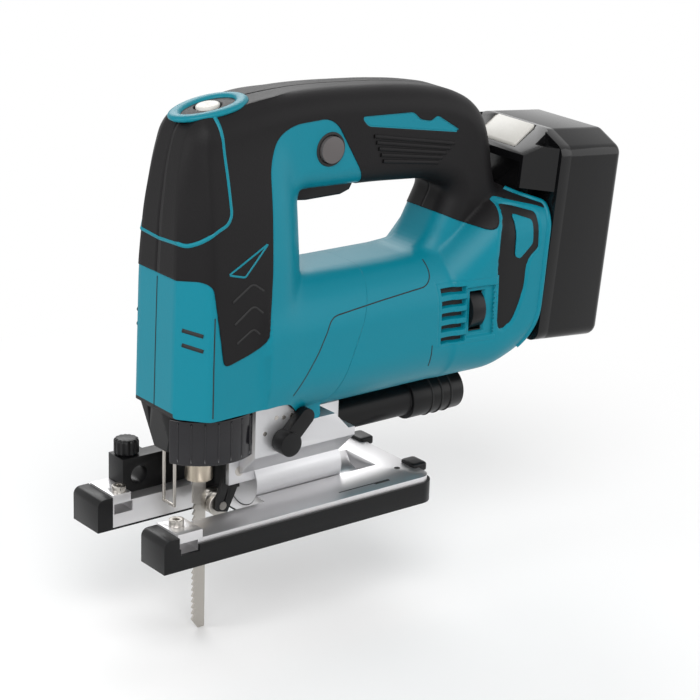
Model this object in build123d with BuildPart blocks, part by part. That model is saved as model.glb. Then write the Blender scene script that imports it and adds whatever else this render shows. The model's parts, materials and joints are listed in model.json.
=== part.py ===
from build123d import *
import os
from math import acos, cos, pi, radians, sin, tan

os.makedirs("parts", exist_ok=True)

# A cordless jigsaw. X runs rearward, Y to the tool's right, Z up.
# The origin is on the sole plane, on the blade's axis. Lengths are millimetres, angles degrees.

# Fits
running_gap = 0.06
moving_gap = 0.4
seat_gap = 0.1

# Casing
wall = 3.0
skin = 1.5
skin_gap = 0.1
nose_bottom = 63.0
nose_top = 199.5
nose_front = -24.0
nose_corner_x = -13.5
nose_half_width = 27.0
nose_rear = 45.5
barrel_axis_z = 85.5
barrel_half_width = 31.5
barrel_half_height = 34.0
handle_width = 36.5
handle_edge = 11.0
handle_corner = 16.0
barrel_front = 12.0
barrel_rear = 132.0
barrel_corner = 26.0
skirt_rear = 52.5
skirt_inside = 27.8
skirt_outside = 30.5
mount_x = 177.6
mount_half_width = 37.3
rib_thickness = 3.0
boss_radius = 5.0
screw_radius = 1.45
screw_head_radius = 3.0
screw_head_y = 12.0
far = 60.0

# Drive
stroke = 26.0
motor_z = 83.0
tooth_module = 0.9
pinion_teeth = 12
gear_teeth = 48
pressure_angle = 28.0
tooth_backlash = 0.24
gear_front = 14.0
gear_width = 8.0
arbor_radius = 5.0
crank_bearing_radius = 10.0
shaft_radius = 4.0
motor_bearing_radius = 11.0
bearing_width = 6.0
housing_plate_x = 26.0
housing_plate_thickness = 8.0
stator_radius = 26.0
stator_front = 56.0
stator_length = 42.0
rotor_radius = 13.0
air_gap = 0.6
fan_front = 103.0
fan_width = 12.0
fan_radius = 25.0
rear_bearing_x = 124.0
crank_pin_radius = 3.0
rod_radius = 5.0
bush_radius = 8.0
lower_bush_z = 70.0
upper_bush_z = 141.0
bush_length = 14.0
rod_bottom = 43.0
rod_top = 158.0
fan_blades = 9
plate_screw_y = 18.0
plate_screw_heights = [70.0, 132.0]
tube_bottom = 56.0

# Blade and its clamp
blade_width = 7.0
blade_thickness = 1.2
blade_tip_z = -52.8
blade_top_z = 39.0
tooth_pitch = 3.0
tooth_depth = 1.4
tooth_start_z = 12.0
holder_radius = 4.7
sleeve_radius = 6.6
sleeve_bottom = 24.0
sleeve_top = 42.0
lever_radius = 26.5
lever_thickness = 2.5
lever_bottom = 40.0
lever_top = 61.5
lever_start = 205.0
lever_end = 302.0
lever_arm_start = 262.0
lever_swing = 40.0
hub_radius = 8.6
nose_block_bottom = 43.0
wire_x = -16.5
wire_y = 4.4
wire_radius = 0.8
wire_top = 50.0
wire_bottom = 15.0
lamp_x = -13.5
lamp_radius = 2.2

# Blade support and orbital action
roller_x = 9.2
roller_z = 9.8
roller_radius = 6.0
roller_groove_radius = 5.4
roller_width = 9.0
retainer_pivot_x = 16.0
retainer_pivot_z = 27.0
retainer_cheek = 2.0
cheek_inside = 4.8
pivot_radius = 2.5
roller_pin_radius = 2.0
ear_inside = 7.4
ear_outside = 10.0
orbital_x = 31.0
orbital_z = 43.2
orbital_radius = 5.8
orbital_length = 15.2
orbital_thickness = 7.4
orbital_arm_thickness = 4.9
orbital_arm_half_width = 4.0
orbital_pin_radius = 2.5
bracket_half_width = 22.0
bracket_front = 16.0
bracket_rear = 51.6
bracket_low = 37.0
bracket_top = 66.0
neck_front = 22.0
neck_half_width = 9.0

# Base
base_front = -44.4
base_length = 157.0
base_half_width = 38.5
shoe_floor = 1.0
shoe_wall = 1.5
shoe_height = 10.5
plate_top = 13.0
prong_top = 17.0
prong_rear_left = -23.0
prong_rear_right = -26.4
cap_depth = 8.2
cap_top = 16.0
cap_round = 3.5
base_corner = 8.0
notch_left = 19.5
notch_right = 17.0
notch_end = 24.0
tilt_axis_z = 18.0
trough_radius = 13.0
trough_wall = 1.6
trough_front = 24.0
trough_end = 96.0
foot_rear = 74.0
fence_slot_x = -30.5
fence_slot_length = 10.0
fence_slot_z = 10.0
fence_slot_height = 5.0
fence_screw_left = -27.0
fence_screw_right = 20.8
fence_screw_radius = 1.7
clamp_x = 52.0
clamp_bolt_radius = 2.5
bolt_top = 24.0
guide_front = -26.0
guide_inside = 24.5
guide_top = 30.0
guide_y = 31.0
guide_bore_radius = 4.5
knob_x = -20.0
knob_radius = 6.0
knob_screw_radius = 2.5

# Controls
trigger_front = 44.0
trigger_length = 35.0
trigger_bottom = 151.5
trigger_half_width = 8.5
trigger_travel = 5.0
switch_bottom = 168.4
switch_height = 17.0
switch_half_width = 9.0
lock_x = 58.0
lock_z = 177.0
lock_radius = 6.2
pad_x = 2.5
pad_length = 40.0
pad_width = 26.0
bezel_width = 4.2
bezel_top = 200.6
pad_z = 194.0
pad_top = 199.6
power_button_radius = 5.4
button_drop = 1.0
dial_x = 138.0
dial_y = -23.8
dial_z = 90.0
dial_radius = 11.0
dial_width = 8.0
dial_pin_radius = 1.5

# Dust nozzle
nozzle_z = 39.0
nozzle_radius = 8.5
nozzle_wall = 1.6
nozzle_end = 152.0
nozzle_end_radius = 10.5

# Battery, in its own leaning frame
battery_lean = 5.5
battery_mid_z = 110.0
battery_bottom = -41.5
battery_top = 62.0
battery_shoulder = 55.0
battery_crown = 22.0
battery_depth = 42.0
battery_seam = 7.0
battery_half_width = 37.5
battery_wall = 2.0
battery_corner = 6.0
cell_radius = 9.1
cell_length = 65.0
cell_pitch = 18.3
cell_rows = 5
terminal_y = 6.5
rail_half_width = 20.0
rail_head_half_width = 25.0
rail_head_front = -8.0
rail_head_rear = -4.0
rail_bottom = -38.0
hood_front = -12.0
hood_bottom = 46.0
hood_half_width = 24.0
flank_foot = 33.8
flank_half_width = 36.0
button_half_width = 14.0
button_travel = 3.0
button_front = -9.0
button_rear = 3.0
button_foot = 52.2
button_rise = 0.8
button_plate = 1.8

# Worked out from the sizes above
gear_pitch_radius = tooth_module * gear_teeth / 2
pinion_pitch_radius = tooth_module * pinion_teeth / 2
gear_z = motor_z + gear_pitch_radius + pinion_pitch_radius
crank_radius = stroke / 2
yoke_z = gear_z - crank_radius
sine_slack = 0.22 * crank_radius
base_rear = base_front + base_length
foot_radius = trough_radius - moving_gap
battery_plane = Plane(
    origin=(mount_x, 0, battery_mid_z),
    x_dir=(cos(radians(battery_lean)), 0, -sin(radians(battery_lean))),
    z_dir=(sin(radians(battery_lean)), 0, cos(radians(battery_lean))),
)


def block(x0, x1, y0, y1, z0, z1, mode=Mode.ADD):
    # A box between two corners
    with Locations(((x0 + x1) / 2, (y0 + y1) / 2, (z0 + z1) / 2)):
        Box(x1 - x0, y1 - y0, z1 - z0, mode=mode)


def battery_block(x0, x1, y0, y1, z0, z1, mode=Mode.ADD):
    # A box between two corners of the leaning battery frame
    middle = Location(((x0 + x1) / 2, (y0 + y1) / 2, (z0 + z1) / 2))
    with Locations(battery_plane.location * middle):
        Box(x1 - x0, y1 - y0, z1 - z0, mode=mode)


def battery_prism(points, half_width, mode=Mode.ADD):
    # A prism across the battery, from depths and heights in its leaning frame
    side = Plane(battery_plane.origin, x_dir=battery_plane.x_dir, z_dir=(0, -1, 0))
    with BuildSketch(side) as outline:
        with BuildLine():
            Polyline(*points, close=True)
        make_face()
    extrude(outline.sketch, amount=half_width, both=True, mode=mode)


def rod_x(x0, x1, y, z, radius, mode=Mode.ADD):
    # A cylinder along X
    with Locations(Plane((x0, y, z), x_dir=(0, 1, 0), z_dir=(1, 0, 0)).location):
        Cylinder(radius, x1 - x0, align=(Align.CENTER, Align.CENTER, Align.MIN), mode=mode)


def rod_y(y0, y1, x, z, radius, mode=Mode.ADD):
    # A cylinder along Y
    with Locations(Plane((x, y0, z), x_dir=(1, 0, 0), z_dir=(0, 1, 0)).location):
        Cylinder(radius, y1 - y0, align=(Align.CENTER, Align.CENTER, Align.MIN), mode=mode)


def rod_z(z0, z1, x, y, radius, mode=Mode.ADD):
    # A cylinder along Z
    with Locations((x, y, z0)):
        Cylinder(radius, z1 - z0, align=(Align.CENTER, Align.CENTER, Align.MIN), mode=mode)


def side_prism(points, y0, y1, mode=Mode.ADD):
    # A side-view outline carried from y0 to y1
    with BuildSketch(Plane.XZ.offset(-y1)) as outline:
        with BuildLine():
            Polyline(*points, close=True)
        make_face()
    extrude(outline.sketch, amount=y1 - y0, mode=mode)


def cross_prism(points, x0, x1, mode=Mode.ADD):
    # A cross-section outline in (y, z) carried from x0 to x1
    with BuildSketch(Plane((x0, 0, 0), x_dir=(0, 1, 0), z_dir=(1, 0, 0))) as outline:
        with BuildLine():
            Polyline(*points, close=True)
        make_face()
    extrude(outline.sketch, amount=x1 - x0, mode=mode)


def sector_prism(inner, outer, start, end, z0, z1, mode=Mode.ADD):
    # A piece of ring about the blade's axis, between two angles
    with BuildSketch(Plane.XY.offset(z0)) as outline:
        with BuildLine():
            CenterArc((0, 0), outer, start, end - start)
            Line((outer * cos(radians(end)), outer * sin(radians(end))),
                 (inner * cos(radians(end)), inner * sin(radians(end))))
            CenterArc((0, 0), inner, end, start - end)
            Line((inner * cos(radians(start)), inner * sin(radians(start))),
                 (outer * cos(radians(start)), outer * sin(radians(start))))
        make_face()
    extrude(outline.sketch, amount=z1 - z0, mode=mode)


# Side outlines of the casing, as (x, z)
loop_outline = [
    (2, barrel_axis_z),
    (2, nose_top + 0.9),
    (nose_rear, nose_top + 3.7),
    (96, nose_top + 0.7),
    (137, nose_top - 6),
    (160, nose_top - 27.5),
    (168, barrel_axis_z),
]
gap_outline = [
    (44, nose_top - 42),
    (47, nose_top - 79.5),
    (114, nose_top - 81),
    (131.5, nose_top - 52.5),
    (119, nose_top - 47),
]
gap_corners = [5, 5, 12, 5, 9]
grip_outline = [
    (-40, 126), (-16, 128.5), (-12.8, 126), (-7, 88), (7.4, 92), (15.4, 95.5),
    (18.4, 113), (20.3, 142), (22.2, 175), (27.5, 186.5), (37, 191), (56, 191.5),
    (62, 188), (78, 161), (82, 150), (119, 150), (122, 138.5), (138, 131),
    (152, 128), (168, 121), (178, 137), (170, 150), (167, 165), (172, 215), (-40, 215),
]
inlay_outline = [
    (75, 190), (106, 188.5), (110, 184.5), (117, 183), (120, 185.5), (137, 175), (79, 185),
]
boss_places = [
    (20, 168), (-14, 110), (140, 130), (112, 176), (46, 72), (120.5, 60), (150, 64),
]
vent_heights = [78, 84, 90, 96, 102]
front_vent_heights = [98, 104]


def nose_form(inset):
    # Plan sections with a flat front, cut corners and flanks that draw in towards the top
    open_end = 8 if inset else 0
    levels = [
        (nose_bottom - open_end, 0.0, 0.0, 30.0),
        (nose_top - 71.5, 1.4, 0.6, 29.0),
        (nose_top - 43.5, 2.8, 3.4, 25.5),
        (nose_top - 21.5, 5.2, 8.2, 21.0),
        (nose_top - 7.5, 8.2, 11.8, 17.0),
        (nose_top - inset, 11.8, 15.2, 13.8),
    ]
    with BuildPart() as form:
        for z, back, narrow, flank in levels:
            half = nose_half_width - narrow - inset
            front = nose_front + back + inset
            corner = nose_corner_x + 0.5 * back + 0.6 * inset
            with BuildSketch(Plane.XY.offset(z)):
                with BuildLine():
                    Polyline(
                        (front, -0.52 * half),
                        (corner, -half),
                        (nose_rear - 14, inset - flank),
                        (nose_rear - inset, 0.4 * inset - 0.5 * flank),
                        (nose_rear - inset, 0.5 * flank - 0.4 * inset),
                        (nose_rear - 14, flank - inset),
                        (corner, half),
                        (front, 0.52 * half),
                        close=True,
                    )
                make_face()
        loft(ruled=True)
    return form.part


def gap_face(inset):
    # The hand opening, grown by the wall when the form is set in
    with BuildSketch(Plane.XZ) as gap:
        with BuildLine():
            FilletPolyline(*gap_outline, radius=gap_corners, close=True)
        make_face()
        if inset:
            offset(amount=inset, kind=Kind.ARC, mode=Mode.REPLACE)
    return gap.sketch


def loop_form(inset):
    # The closed handle loop with its hand opening and rounded edges
    half = handle_width / 2 - inset
    with BuildSketch(Plane.XZ) as side:
        with BuildLine():
            FilletPolyline(*loop_outline, radius=handle_corner, close=True)
        make_face()
        if inset:
            offset(amount=-inset, kind=Kind.INTERSECTION, mode=Mode.REPLACE)
        add(gap_face(inset), mode=Mode.SUBTRACT)
    with BuildPart() as form:
        extrude(side.sketch, amount=half, both=True)
        fillet(form.faces().filter_by(Axis.Y).edges(), handle_edge - inset)
    return form.part


def barrel_form(inset):
    # The motor barrel
    with BuildPart() as form:
        with BuildSketch(Plane((barrel_front + inset, 0, barrel_axis_z), x_dir=(0, 1, 0), z_dir=(1, 0, 0))):
            RectangleRounded(
                2 * (barrel_half_width - inset),
                2 * (barrel_half_height - inset),
                barrel_corner - inset,
            )
        extrude(amount=barrel_rear - barrel_front - inset)
    return form.part


def rear_form(inset):
    # The flare from the barrel to the battery mount
    stations = [
        (barrel_rear - 6, 1.0, barrel_half_width, barrel_half_height, 24.0),
        (barrel_rear + 20, 12.0, mount_half_width - 1.2, barrel_half_height + 8, 18.0),
        (mount_x + 8, 15.5, mount_half_width, barrel_half_height + 7, 15.0),
    ]
    with BuildPart() as form:
        for x, lift, half_width, half_height, corner in stations:
            with BuildSketch(Plane((x, 0, barrel_axis_z + lift), x_dir=(0, 1, 0), z_dir=(1, 0, 0))):
                RectangleRounded(2 * (half_width - inset), 2 * (half_height - inset), corner - inset)
        loft(ruled=True)
    return form.part


def casing_form(inset):
    # The outside of the casing, or the same form set in by a wall
    barrel = barrel_form(inset)
    flare = rear_form(inset)
    loop = loop_form(inset)
    nose = nose_form(inset)
    with BuildPart() as form:
        add(barrel)
        add(flare)
        add(loop)
        add(nose)
        battery_block(0, far, -far, far, -2 * far, 2 * far, mode=Mode.SUBTRACT)
        if not inset:
            block(-far, skirt_rear, -far, far, 0, nose_bottom, mode=Mode.SUBTRACT)
    return form.part


def gear_points(teeth, first):
    # Straight-sided points on involute flanks, starting from the tooth at the angle first
    pitch_radius = tooth_module * teeth / 2
    base_radius = pitch_radius * cos(radians(pressure_angle))
    thickness = (pi * tooth_module - tooth_backlash) / 2
    root = pitch_radius - tooth_module
    tip = pitch_radius + 0.75 * tooth_module
    flank = []
    for radius in (root, pitch_radius, tip):
        slope = acos(min(1, base_radius / radius))
        spread = tan(radians(pressure_angle)) - radians(pressure_angle) - tan(slope) + slope
        flank.append((radius, thickness / (2 * pitch_radius) + spread))
    points = []
    for tooth in range(teeth):
        middle = radians(first) + 2 * pi * tooth / teeth
        for radius, half_angle in flank:
            points.append((radius * cos(middle - half_angle), radius * sin(middle - half_angle)))
        for radius, half_angle in reversed(flank):
            points.append((radius * cos(middle + half_angle), radius * sin(middle + half_angle)))
    return points


def gear_prism(teeth, first, z, x0, x1):
    # A toothed disc about an axis along X
    with BuildSketch(Plane((x0, 0, z), x_dir=(0, 1, 0), z_dir=(1, 0, 0))) as outline:
        with BuildLine():
            Polyline(*gear_points(teeth, first), close=True)
        make_face()
    extrude(outline.sketch, amount=x1 - x0)


def rail_space(mode):
    # The room the battery's rails need, open at the top
    battery_block(
        rail_head_rear,
        1,
        -rail_half_width - moving_gap,
        rail_half_width + moving_gap,
        rail_bottom - 1,
        far,
        mode=mode,
    )
    battery_block(
        rail_head_front - 0.6,
        rail_head_rear + moving_gap,
        -rail_head_half_width - moving_gap,
        rail_head_half_width + moving_gap,
        rail_bottom - 1,
        far,
        mode=mode,
    )


def trigger_space(mode):
    # The slot in the handle that the trigger slides in
    block(
        trigger_front - moving_gap,
        trigger_front + trigger_length + moving_gap,
        -trigger_half_width - moving_gap,
        trigger_half_width + moving_gap,
        trigger_bottom - 5,
        switch_bottom,
        mode=mode,
    )


def oval_prism(margin, z0, z1, mode=Mode.ADD):
    # The oval of the control pad, grown by a margin
    with BuildSketch(Plane.XY.offset(z0)) as outline:
        with Locations((pad_x, 0)):
            Ellipse(pad_length / 2 + margin, pad_width / 2 + margin)
    extrude(outline.sketch, amount=z1 - z0, mode=mode)


outer_form = casing_form(0)
skin_form = casing_form(skin)
pocket_form = casing_form(skin + skin_gap)
inner_form = casing_form(wall)

# Ribs, bosses and inner walls of the casing
rib_low = nose_bottom - 12
rib_high = nose_top - 82.5
plate_rear = housing_plate_x + housing_plate_thickness
stator_rear = stator_front + stator_length
switch_front = trigger_front - 0.5
switch_rear = trigger_front + trigger_length + 2
board_x = 146.0
board_rear = board_x + 2
slot_floor = rail_bottom - 1
with BuildPart() as rib_set:
    block(plate_rear, plate_rear + rib_thickness, -far, far, nose_bottom + 3.5, rib_high)
    block(skirt_rear, skirt_rear + rib_thickness, -far, far, rib_low, nose_bottom + 1)
    block(stator_front + 2, stator_front + 2 + rib_thickness, -far, far, rib_low, rib_high)
    block(stator_rear - 2 - rib_thickness, stator_rear - 2, -far, far, rib_low, rib_high)
    block(rear_bearing_x - 0.5, rear_bearing_x + bearing_width + 1, -far, far, rib_low, rib_high)
    block(board_rear, board_rear + rib_thickness, -far, far, rib_low, rib_high + 8)
    block(switch_front - rib_thickness, switch_front, -far, far, switch_bottom - 6, nose_top + 5)
    block(switch_rear, switch_rear + rib_thickness, -far, far, switch_bottom - 20, nose_top + 5)
    block(-far, pad_x + pad_length / 2 + 2, -far, far, pad_z - rib_thickness, pad_z)
    battery_block(hood_front, rail_head_front - 0.6, -far, far, -far, far)
    battery_block(rail_head_rear + moving_gap, 0, -far, far, -far, far)
    battery_block(rail_head_front - 0.6, rail_head_rear + moving_gap, -far, far, -far, slot_floor)
    for x, z in boss_places:
        rod_y(-far, far, x, z, boss_radius)
    add(inner_form, mode=Mode.INTERSECT)

# The whole casing before it is parted along the middle plane
with BuildPart() as casing:
    add(outer_form)
    add(inner_form, mode=Mode.SUBTRACT)
    add(rib_set.part)
    for side in (-1, 1):
        inside = min(side * skirt_inside, side * skirt_outside)
        side_prism(
            [
                (24, nose_bottom + 3),
                (30, nose_bottom),
                (45, 50),
                (skirt_rear, 50),
                (skirt_rear, nose_bottom + 3),
            ],
            inside,
            inside + skirt_outside - skirt_inside,
        )
    rod_x(
        plate_rear - 1,
        plate_rear + rib_thickness + 1,
        0,
        motor_z,
        motor_bearing_radius - 3,
        mode=Mode.SUBTRACT,
    )
    rod_x(stator_front - 1, stator_rear + 1, 0, motor_z, stator_radius + seat_gap / 2, mode=Mode.SUBTRACT)
    rod_x(
        rear_bearing_x,
        rear_bearing_x + bearing_width,
        0,
        motor_z,
        motor_bearing_radius + 0.02,
        mode=Mode.SUBTRACT,
    )
    rod_x(
        rear_bearing_x - 2,
        rear_bearing_x + bearing_width + 2,
        0,
        motor_z,
        shaft_radius + 2,
        mode=Mode.SUBTRACT,
    )
    block(board_rear - 1, board_rear + rib_thickness + 1, -14, 14, motor_z, rib_high, mode=Mode.SUBTRACT)
    trigger_space(Mode.SUBTRACT)
    oval_prism(seat_gap, pad_z, nose_top + 20, mode=Mode.SUBTRACT)
    rail_space(Mode.SUBTRACT)
    battery_block(hood_front - 1, rail_head_front, -10, 10, -26, 4, mode=Mode.SUBTRACT)
    for z in vent_heights:
        for side in (-1, 1):
            near = min(side * (barrel_half_width - wall - 0.5), side * far)
            block(
                117.5,
                131,
                near,
                near + far - barrel_half_width + wall + 0.5,
                z - 1.5,
                z + 1.5,
                mode=Mode.SUBTRACT,
            )
    for z in front_vent_heights:
        for side in (-1, 1):
            near = min(side * 14, side * 26)
            block(-far, nose_corner_x + 1, near, near + 12, z - 1, z + 1, mode=Mode.SUBTRACT)
    for x, z in boss_places:
        rod_y(-8.2, far, x, z, screw_radius + seat_gap / 2, mode=Mode.SUBTRACT)
        rod_y(screw_head_y, far, x, z, screw_head_radius + moving_gap, mode=Mode.SUBTRACT)

# Outside skin of the casing where the soft grip lies
with BuildPart() as grip_pocket:
    side_prism(grip_outline, -far, far)
    side_prism(inlay_outline, -far, far, mode=Mode.SUBTRACT)
    add(pocket_form, mode=Mode.SUBTRACT)

with BuildPart() as grip_skin:
    add(outer_form)
    add(skin_form, mode=Mode.SUBTRACT)
    side_prism(grip_outline, -far, far, mode=Mode.INTERSECT)
    side_prism(inlay_outline, -far, far, mode=Mode.SUBTRACT)
    oval_prism(seat_gap, pad_z, nose_top + 20, mode=Mode.SUBTRACT)
    trigger_space(Mode.SUBTRACT)
    rail_space(Mode.SUBTRACT)
    rod_y(-far, 0, lock_x, lock_z, lock_radius + moving_gap, mode=Mode.SUBTRACT)
    for x, z in boss_places:
        rod_y(screw_head_y, far, x, z, screw_head_radius + moving_gap, mode=Mode.SUBTRACT)

with BuildPart() as housing_left:
    add(casing.part)
    add(grip_pocket.part, mode=Mode.SUBTRACT)
    block(-far, 4 * far, 0, 2 * far, -far, 4 * far, mode=Mode.SUBTRACT)
    rod_y(-far, 0, lock_x, lock_z, lock_radius + moving_gap, mode=Mode.SUBTRACT)
    block(
        dial_x - dial_width / 2 - moving_gap,
        dial_x + dial_width / 2 + moving_gap,
        -far,
        dial_y - 2,
        dial_z - dial_radius,
        dial_z + dial_radius,
        mode=Mode.SUBTRACT,
    )
housing_left.part.label = "left casing half"
export_step(housing_left.part, "parts/housing_left.step")

with BuildPart() as housing_right:
    add(casing.part)
    add(grip_pocket.part, mode=Mode.SUBTRACT)
    block(-far, 4 * far, -2 * far, 0, -far, 4 * far, mode=Mode.SUBTRACT)
housing_right.part.label = "right casing half"
export_step(housing_right.part, "parts/housing_right.step")

with BuildPart() as grip_left:
    add(grip_skin.part)
    block(-far, 4 * far, 0, 2 * far, -far, 4 * far, mode=Mode.SUBTRACT)
grip_left.part.label = "left soft grip"
export_step(grip_left.part, "parts/grip_left.step")

with BuildPart() as grip_right:
    add(grip_skin.part)
    block(-far, 4 * far, -2 * far, 0, -far, 4 * far, mode=Mode.SUBTRACT)
grip_right.part.label = "right soft grip"
export_step(grip_right.part, "parts/grip_right.step")

# Control pad on top of the nose
with BuildPart() as top_bezel:
    oval_prism(0, pad_z, bezel_top)
    oval_prism(-bezel_width, pad_z, bezel_top, mode=Mode.SUBTRACT)
top_bezel.part.label = "control pad bezel"
export_step(top_bezel.part, "parts/top_bezel.step")

with BuildPart() as top_pad:
    oval_prism(-bezel_width - seat_gap, pad_z, pad_top)
    rod_z(pad_z, pad_top, pad_x, 0, power_button_radius + moving_gap, mode=Mode.SUBTRACT)
top_pad.part.label = "control pad"
export_step(top_pad.part, "parts/top_pad.step")

with BuildPart() as power_button:
    rod_z(pad_z + button_drop + moving_gap, pad_top + 0.8, pad_x, 0, power_button_radius)
power_button.part.label = "power button"
export_step(power_button.part, "parts/power_button.step")

# Cast gear housing with the neck and foot that carry the base
lower_arm_top = lower_bush_z + 5.5
lower_boss_top = lower_bush_z + bush_length + 1
upper_arm_top = upper_bush_z + bush_length
bush_seat = bush_radius + 0.02
arm_front = -bush_radius - 1
tube_inside = sleeve_radius + moving_gap
tube_outside = hub_radius - running_gap
plate_half_width = bracket_half_width
plate_low = nose_bottom - 3
plate_high = gear_z + gear_pitch_radius + 4.4
with BuildPart() as gear_housing:
    block(bracket_front, bracket_rear, -bracket_half_width, bracket_half_width, bracket_low, bracket_top)
    block(
        bracket_front + 4,
        bracket_rear - 4,
        4 - bracket_half_width,
        bracket_half_width - 4,
        50,
        bracket_top + 1,
        mode=Mode.SUBTRACT,
    )
    side_prism(
        [
            (bracket_rear - 1, bracket_low),
            (foot_rear, bracket_low),
            (foot_rear - 12, 50),
            (bracket_rear - 1, 50),
        ],
        -bracket_half_width,
        bracket_half_width,
    )
    for side in (-1, 1):
        cross_prism(
            [
                (side * (neck_half_width - 1), 25),
                (side * 10.3, 25.6),
                (side * bracket_half_width, bracket_low),
                (side * bracket_half_width, bracket_low + 4),
                (side * (neck_half_width - 1), bracket_low + 4),
            ],
            bracket_front,
            foot_rear,
        )
    block(neck_front, foot_rear, -neck_half_width, neck_half_width, 24, 50)
    rod_x(trough_front + moving_gap, foot_rear, 0, tilt_axis_z, foot_radius)
    for y in (-ear_outside, ear_inside):
        block(10, neck_front + 4, y, y + ear_outside - ear_inside, 21, 33.5)
    block(housing_plate_x, plate_rear, -plate_half_width, plate_half_width, plate_low, plate_high)
    block(housing_plate_x, plate_rear, arm_front, -arm_front, plate_high - 6, upper_arm_top)
    block(arm_front, plate_rear, arm_front, -arm_front, upper_bush_z, upper_arm_top)
    block(arm_front, plate_rear, -11, 11, lower_bush_z, lower_arm_top)
    rod_z(lower_bush_z, lower_boss_top, 0, 0, bush_radius + 3)
    rod_z(tube_bottom, lower_bush_z + 1, 0, 0, tube_outside)
    rod_z(tube_bottom - 1, lower_bush_z, 0, 0, tube_inside, mode=Mode.SUBTRACT)
    rod_z(lower_bush_z, lower_boss_top + 1, 0, 0, bush_seat, mode=Mode.SUBTRACT)
    rod_z(upper_bush_z - 1, upper_arm_top + 1, 0, 0, bush_seat, mode=Mode.SUBTRACT)
    rod_x(housing_plate_x - 1, plate_rear + 1, 0, gear_z, crank_bearing_radius + 0.02, mode=Mode.SUBTRACT)
    rod_x(housing_plate_x - 1, plate_rear + 1, 0, motor_z, motor_bearing_radius + 0.02, mode=Mode.SUBTRACT)
    rod_y(-far, -12, orbital_x, orbital_z, orbital_pin_radius + running_gap, mode=Mode.SUBTRACT)
    rod_x(
        bracket_front - 1,
        foot_rear + 1,
        0,
        nozzle_z,
        nozzle_radius - nozzle_wall - 0.9,
        mode=Mode.SUBTRACT,
    )
    rod_y(
        -ear_outside,
        ear_outside,
        retainer_pivot_x,
        retainer_pivot_z,
        pivot_radius + 0.02,
        mode=Mode.SUBTRACT,
    )
    rod_z(0, bolt_top + 1, clamp_x, 0, clamp_bolt_radius + 0.05, mode=Mode.SUBTRACT)
    for y in (-plate_screw_y, plate_screw_y):
        for z in plate_screw_heights:
            rod_x(housing_plate_x - 1, plate_rear - 2, y, z, screw_radius + seat_gap / 2, mode=Mode.SUBTRACT)
gear_housing.part.label = "gear housing"
export_step(gear_housing.part, "parts/gear_housing.step")

with BuildPart() as gear_housing_screws:
    for y in (-plate_screw_y, plate_screw_y):
        for z in plate_screw_heights:
            rod_x(housing_plate_x - 2, housing_plate_x, y, z, screw_head_radius)
            rod_x(housing_plate_x - 1, plate_rear - 2.5, y, z, screw_radius)
gear_housing_screws.part.label = "gear housing screws"
export_step(gear_housing_screws.part, "parts/gear_housing_screws.step")

with BuildPart() as plunger_bushes:
    for z in (lower_bush_z, upper_bush_z):
        rod_z(z, z + bush_length, 0, 0, bush_radius)
        rod_z(z, z + bush_length, 0, 0, rod_radius + running_gap, mode=Mode.SUBTRACT)
plunger_bushes.part.label = "plunger bushes"
export_step(plunger_bushes.part, "parts/plunger_bushes.step")

with BuildPart() as crank_bearing:
    rod_x(housing_plate_x + 1, plate_rear - 1, 0, gear_z, crank_bearing_radius)
    rod_x(housing_plate_x, plate_rear, 0, gear_z, arbor_radius + running_gap, mode=Mode.SUBTRACT)
crank_bearing.part.label = "crank bearing"
export_step(crank_bearing.part, "parts/crank_bearing.step")

with BuildPart() as motor_front_bearing:
    rod_x(housing_plate_x + 1, plate_rear - 1, 0, motor_z, motor_bearing_radius)
    rod_x(housing_plate_x, plate_rear, 0, motor_z, shaft_radius + running_gap, mode=Mode.SUBTRACT)
motor_front_bearing.part.label = "front motor bearing"
export_step(motor_front_bearing.part, "parts/motor_front_bearing.step")

with BuildPart() as motor_rear_bearing:
    rod_x(rear_bearing_x, rear_bearing_x + bearing_width, 0, motor_z, motor_bearing_radius)
    rod_x(
        rear_bearing_x - 1,
        rear_bearing_x + bearing_width + 1,
        0,
        motor_z,
        shaft_radius + running_gap,
        mode=Mode.SUBTRACT,
    )
motor_rear_bearing.part.label = "rear motor bearing"
export_step(motor_rear_bearing.part, "parts/motor_rear_bearing.step")

# Motor
with BuildPart() as motor_stator:
    rod_x(stator_front, stator_rear, 0, motor_z, stator_radius)
    rod_x(stator_front - 1, stator_rear + 1, 0, motor_z, rotor_radius + air_gap, mode=Mode.SUBTRACT)
motor_stator.part.label = "motor stator"
export_step(motor_stator.part, "parts/motor_stator.step")

with BuildPart() as rotor_core:
    rod_x(stator_front + 2, stator_rear - 2, 0, motor_z, rotor_radius)
    rod_x(stator_front, stator_rear, 0, motor_z, shaft_radius + 0.01, mode=Mode.SUBTRACT)
rotor_core.part.label = "motor rotor"
export_step(rotor_core.part, "parts/rotor_core.step")

with BuildPart() as motor_shaft:
    rod_x(gear_front + gear_width, rear_bearing_x + bearing_width + 1, 0, motor_z, shaft_radius)
    gear_prism(pinion_teeth, 90, motor_z, gear_front - 1, gear_front + gear_width)
motor_shaft.part.label = "motor shaft with pinion"
export_step(motor_shaft.part, "parts/motor_shaft.step")

with BuildPart() as cooling_fan:
    rod_x(fan_front, fan_front + 2, 0, motor_z, fan_radius)
    rod_x(fan_front, fan_front + fan_width, 0, motor_z, shaft_radius + 3)
    for turn in range(fan_blades):
        with Locations(Location((fan_front, 0, motor_z), (turn * 360 / fan_blades, 0, 0))):
            Box(
                fan_width,
                1.6,
                fan_radius - 1,
                align=(Align.MIN, Align.CENTER, Align.MIN),
            )
    rod_x(fan_front - 1, fan_front + fan_width + 1, 0, motor_z, shaft_radius + 0.01, mode=Mode.SUBTRACT)
cooling_fan.part.label = "cooling fan"
export_step(cooling_fan.part, "parts/cooling_fan.step")

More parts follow.
